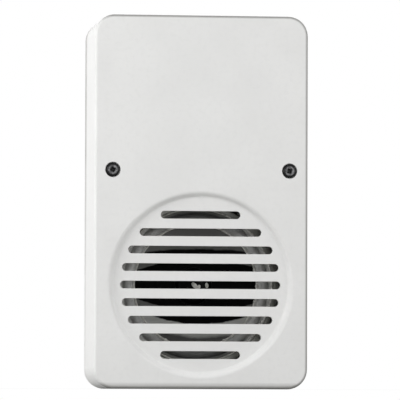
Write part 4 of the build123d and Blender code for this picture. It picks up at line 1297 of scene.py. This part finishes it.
class CHIME_OT_leads(bpy.types.Operator):
    """Lay the two leads from the speaker's tags to the plug on the board"""
    bl_idname = "chime.leads"
    bl_label = "Speaker leads"

    def execute(self, context):
        nylon = moulded_part("moulded_nylon_natural", "#DCD8C8", 0.4, coat=0.05)
        dress({"speaker_socket": nylon, "speaker_plug": nylon})
        self.lay("red", "#A8201C", 0.0363, (-4.0, -4.0, -0.5, 3.51, 6.01, 6.01))
        self.lay("black", "#1C1C1D", 0.0345, (4.0, 4.0, 5.58, 7.38, 8.51, 8.51))
        return {"FINISHED"}

    def lay(self, name, colour, length, across):
        """One lead as a smooth curve from tag to plug; its length in metres is not used."""
        # Each point's height up the wall and its distance out from it
        route = [(5.8, 25.05), (13.21, 25.46), (20.1, 27.43), (26.45, 28.45), (32.28, 24.46), (32.28, 17.7)]
        points = [STAND_UP @ Vector((x, y, z)) for x, (y, z) in zip(across, route)]
        curve = bpy.data.curves.new(f"lead_{name}", "CURVE")
        curve.dimensions = "3D"
        curve.bevel_depth = 0.65 * MM
        curve.bevel_resolution = 4
        curve.resolution_u = 16
        curve.use_fill_caps = True
        line = curve.splines.new("NURBS")
        line.points.add(len(points) - 1)
        for spot, point in zip(line.points, points):
            spot.co = (*point, 1)
        line.order_u = 3
        line.use_endpoint_u = True
        curve.materials.append(wire_insulation(f"extruded_pvc_{name}", colour))
        made = bpy.data.objects.new(f"lead_{name}", curve)
        bpy.context.scene.collection.objects.link(made)
        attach(made, "case_base")
        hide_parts(f"speaker_lead_{name}")


# Stage

# Each lamp: its name, its azimuth and elevation in degrees, its distance and width in metres
LAMPS = (("key", -60, 10, 0.55, 0.3), ("side", -88, 5, 1.1, 0.9), ("fill", 40, 5, 1.1, 0.9),
         ("rear", 165, 30, 1.1, 0.9))


def outward(azimuth, elevation):
    """The way out from the box at an angle round it and an angle above it."""
    flat = math.cos(elevation)
    return Vector((math.sin(azimuth) * flat, -math.cos(azimuth) * flat, math.sin(elevation)))


class CHIME_OT_stage(bpy.types.Operator):
    """Set up the floor, the lamps, the room light and the camera"""
    bl_idname = "chime.stage"
    bl_label = "Stage"

    def execute(self, context):
        look = context.scene.chime_stage
        low, high = cad_box
        self.lay_floor(look, low.z)
        for name, azimuth, elevation, distance, size in LAMPS:
            out = outward(math.radians(azimuth), math.radians(elevation))
            self.hang_lamp(name, (low + high) / 2, out, distance, size, getattr(look, f"{name}_power"))
        self.light_room(context, look)
        self.place_camera(context, look)
        context.scene.view_settings.view_transform = "Standard"
        return {"FINISHED"}

    def seen_directly(self, tree):
        """One where a camera, mirror or glass ray arrives, and nothing for light."""
        path = add_node(tree, "LightPath")
        rays = {0: (path, "Is Camera Ray"), 1: (path, "Is Glossy Ray")}
        first = add_node(tree, "Math", {"operation": "MAXIMUM"}, rays)
        rays = {0: (first, 0), 1: (path, "Is Transmission Ray")}
        return add_node(tree, "Math", {"operation": "MAXIMUM"}, rays)

    def lay_floor(self, look, level):
        """A pale floor that fades into the white background and is clear from below."""
        radius = 1.2
        fade_start = 0.12
        fade_end = 0.75
        least_fade = 0.45
        spot_size = 0.2
        gap = 3 * HAIR * MM
        mesh = bpy.data.meshes.new("floor")
        disc = bmesh.new()
        bmesh.ops.create_circle(disc, cap_ends=True, segments=96, radius=radius)
        disc.to_mesh(mesh)
        disc.free()
        floor = bpy.data.objects.new("floor", mesh)
        floor.location.z = level - gap
        bpy.context.scene.collection.objects.link(floor)
        material = bpy.data.materials.new("painted_board_floor")
        material.use_nodes = True
        tree = material.node_tree
        tree.nodes.clear()
        place = add_node(tree, "TexCoord")
        out = add_node(tree, "VectorMath", {"operation": "LENGTH"}, {0: (place, "Object")})
        settings = {"From Min": fade_start, "From Max": fade_end, "To Min": least_fade}
        fade = add_node(tree, "MapRange", settings, {"Value": (out, "Value")})
        links = {0: (fade, "Result"), 1: (self.seen_directly(tree), 0)}
        share = add_node(tree, "Math", {"operation": "MULTIPLY"}, links)
        spots = add_node(tree, "TexNoise", {"Scale": 1 / spot_size})
        settings = {"data_type": "RGBA", 6: tone(look.floor, 0.97), 7: tone(look.floor)}
        shade = add_node(tree, "Mix", settings, {0: (spots, 0)})
        matt = add_node(tree, "BsdfDiffuse", None, {"Color": (shade, 2)})
        white = add_node(tree, "Emission", {"Color": (1, 1, 1, 1), "Strength": 1.0})
        seen = add_node(tree, "MixShader", None, {0: (share, 0), 1: (matt, 0), 2: (white, 0)})
        geometry = add_node(tree, "NewGeometry")
        clear = add_node(tree, "BsdfTransparent")
        links = {0: (geometry, "Backfacing"), 1: (seen, 0), 2: (clear, 0)}
        both = add_node(tree, "MixShader", None, links)
        add_node(tree, "OutputMaterial", None, {"Surface": (both, 0)})
        mesh.materials.append(material)

    def hang_lamp(self, name, middle, out, distance, size, power):
        """A soft square lamp that looks at the middle of the box."""
        lamp = bpy.data.lights.new(f"{name}_lamp", "AREA")
        lamp.shape = "SQUARE"
        lamp.size = size
        lamp.energy = power
        made = bpy.data.objects.new(f"{name}_lamp", lamp)
        made.location = middle + out * distance
        made.rotation_mode = "QUATERNION"
        made.rotation_quaternion = out.to_track_quat("Z", "Y")
        made.visible_camera = False
        bpy.context.scene.collection.objects.link(made)

    def light_room(self, context, look):
        """Even light from all round, with a white background behind what is seen."""
        world = bpy.data.worlds.new("white_room")
        context.scene.world = world
        world.use_nodes = True
        tree = world.node_tree
        tree.nodes.clear()
        soft, white = [add_node(tree, "Background", {"Color": (1, 1, 1, 1), "Strength": strength})
                       for strength in (look.ambient, 1.0)]
        links = {0: (self.seen_directly(tree), 0), 1: (soft, 0), 2: (white, 0)}
        both = add_node(tree, "MixShader", None, links)
        add_node(tree, "OutputWorld", None, {"Surface": (both, 0)})

    def place_camera(self, context, look):
        """A long lens, a little to the left of the box and level with its foot."""
        aim = Vector((2.23, -24.0, 1.89)) * MM
        camera = bpy.data.cameras.new("camera")
        camera.lens = look.lens
        camera.clip_start = 0.05
        camera.clip_end = 20
        made = bpy.data.objects.new("camera", camera)
        bpy.context.scene.collection.objects.link(made)
        back = outward(look.azimuth, look.elevation)
        made.location = aim + back * look.distance
        made.rotation_mode = "QUATERNION"
        made.rotation_quaternion = (-back).to_track_quat("-Z", "Y") @ Quaternion((0, 0, 1), look.roll)
        context.scene.camera = made


LOOKS = {
    "chime_case": ChimeCaseLook,
    "chime_screws": ChimeScrewLook,
    "chime_speaker": ChimeSpeakerLook,
    "chime_board": ChimeBoardLook,
    "chime_stage": ChimeStageLook,
}
STEPS = [CHIME_OT_case, CHIME_OT_cover_screws, CHIME_OT_cone, CHIME_OT_motor, CHIME_OT_clips, CHIME_OT_board,
         CHIME_OT_terminals, CHIME_OT_chips, CHIME_OT_capacitors, CHIME_OT_resistors, CHIME_OT_small_parts,
         CHIME_OT_controls, CHIME_OT_leads, CHIME_OT_stage]


class CHIME_PT_panel(bpy.types.Panel):
    """Settings and steps of the chime box"""
    bl_label = "Chime box"
    bl_idname = "CHIME_PT_panel"
    bl_space_type = "VIEW_3D"
    bl_region_type = "UI"
    bl_category = "Chime box"

    def draw(self, context):
        for name, look in LOOKS.items():
            box = self.layout.box()
            box.label(text=look.__doc__)
            for setting in look.__annotations__:
                box.prop(getattr(context.scene, name), setting)
        for step in STEPS:
            self.layout.operator(step.bl_idname)


def register():
    for name, look in LOOKS.items():
        bpy.utils.register_class(look)
        setattr(bpy.types.Scene, name, PointerProperty(type=look))
    for step in STEPS:
        bpy.utils.register_class(step)
    bpy.utils.register_class(CHIME_PT_panel)


def unregister():
    bpy.utils.unregister_class(CHIME_PT_panel)
    for step in reversed(STEPS):
        bpy.utils.unregister_class(step)
    for name, look in LOOKS.items():
        delattr(bpy.types.Scene, name)
        bpy.utils.unregister_class(look)


def main():
    register()
    for step in STEPS:
        group, name = step.bl_idname.split(".")
        getattr(getattr(bpy.ops, group), name)()
    bpy.context.view_layer.update()


if __name__ == "__main__":
    main()
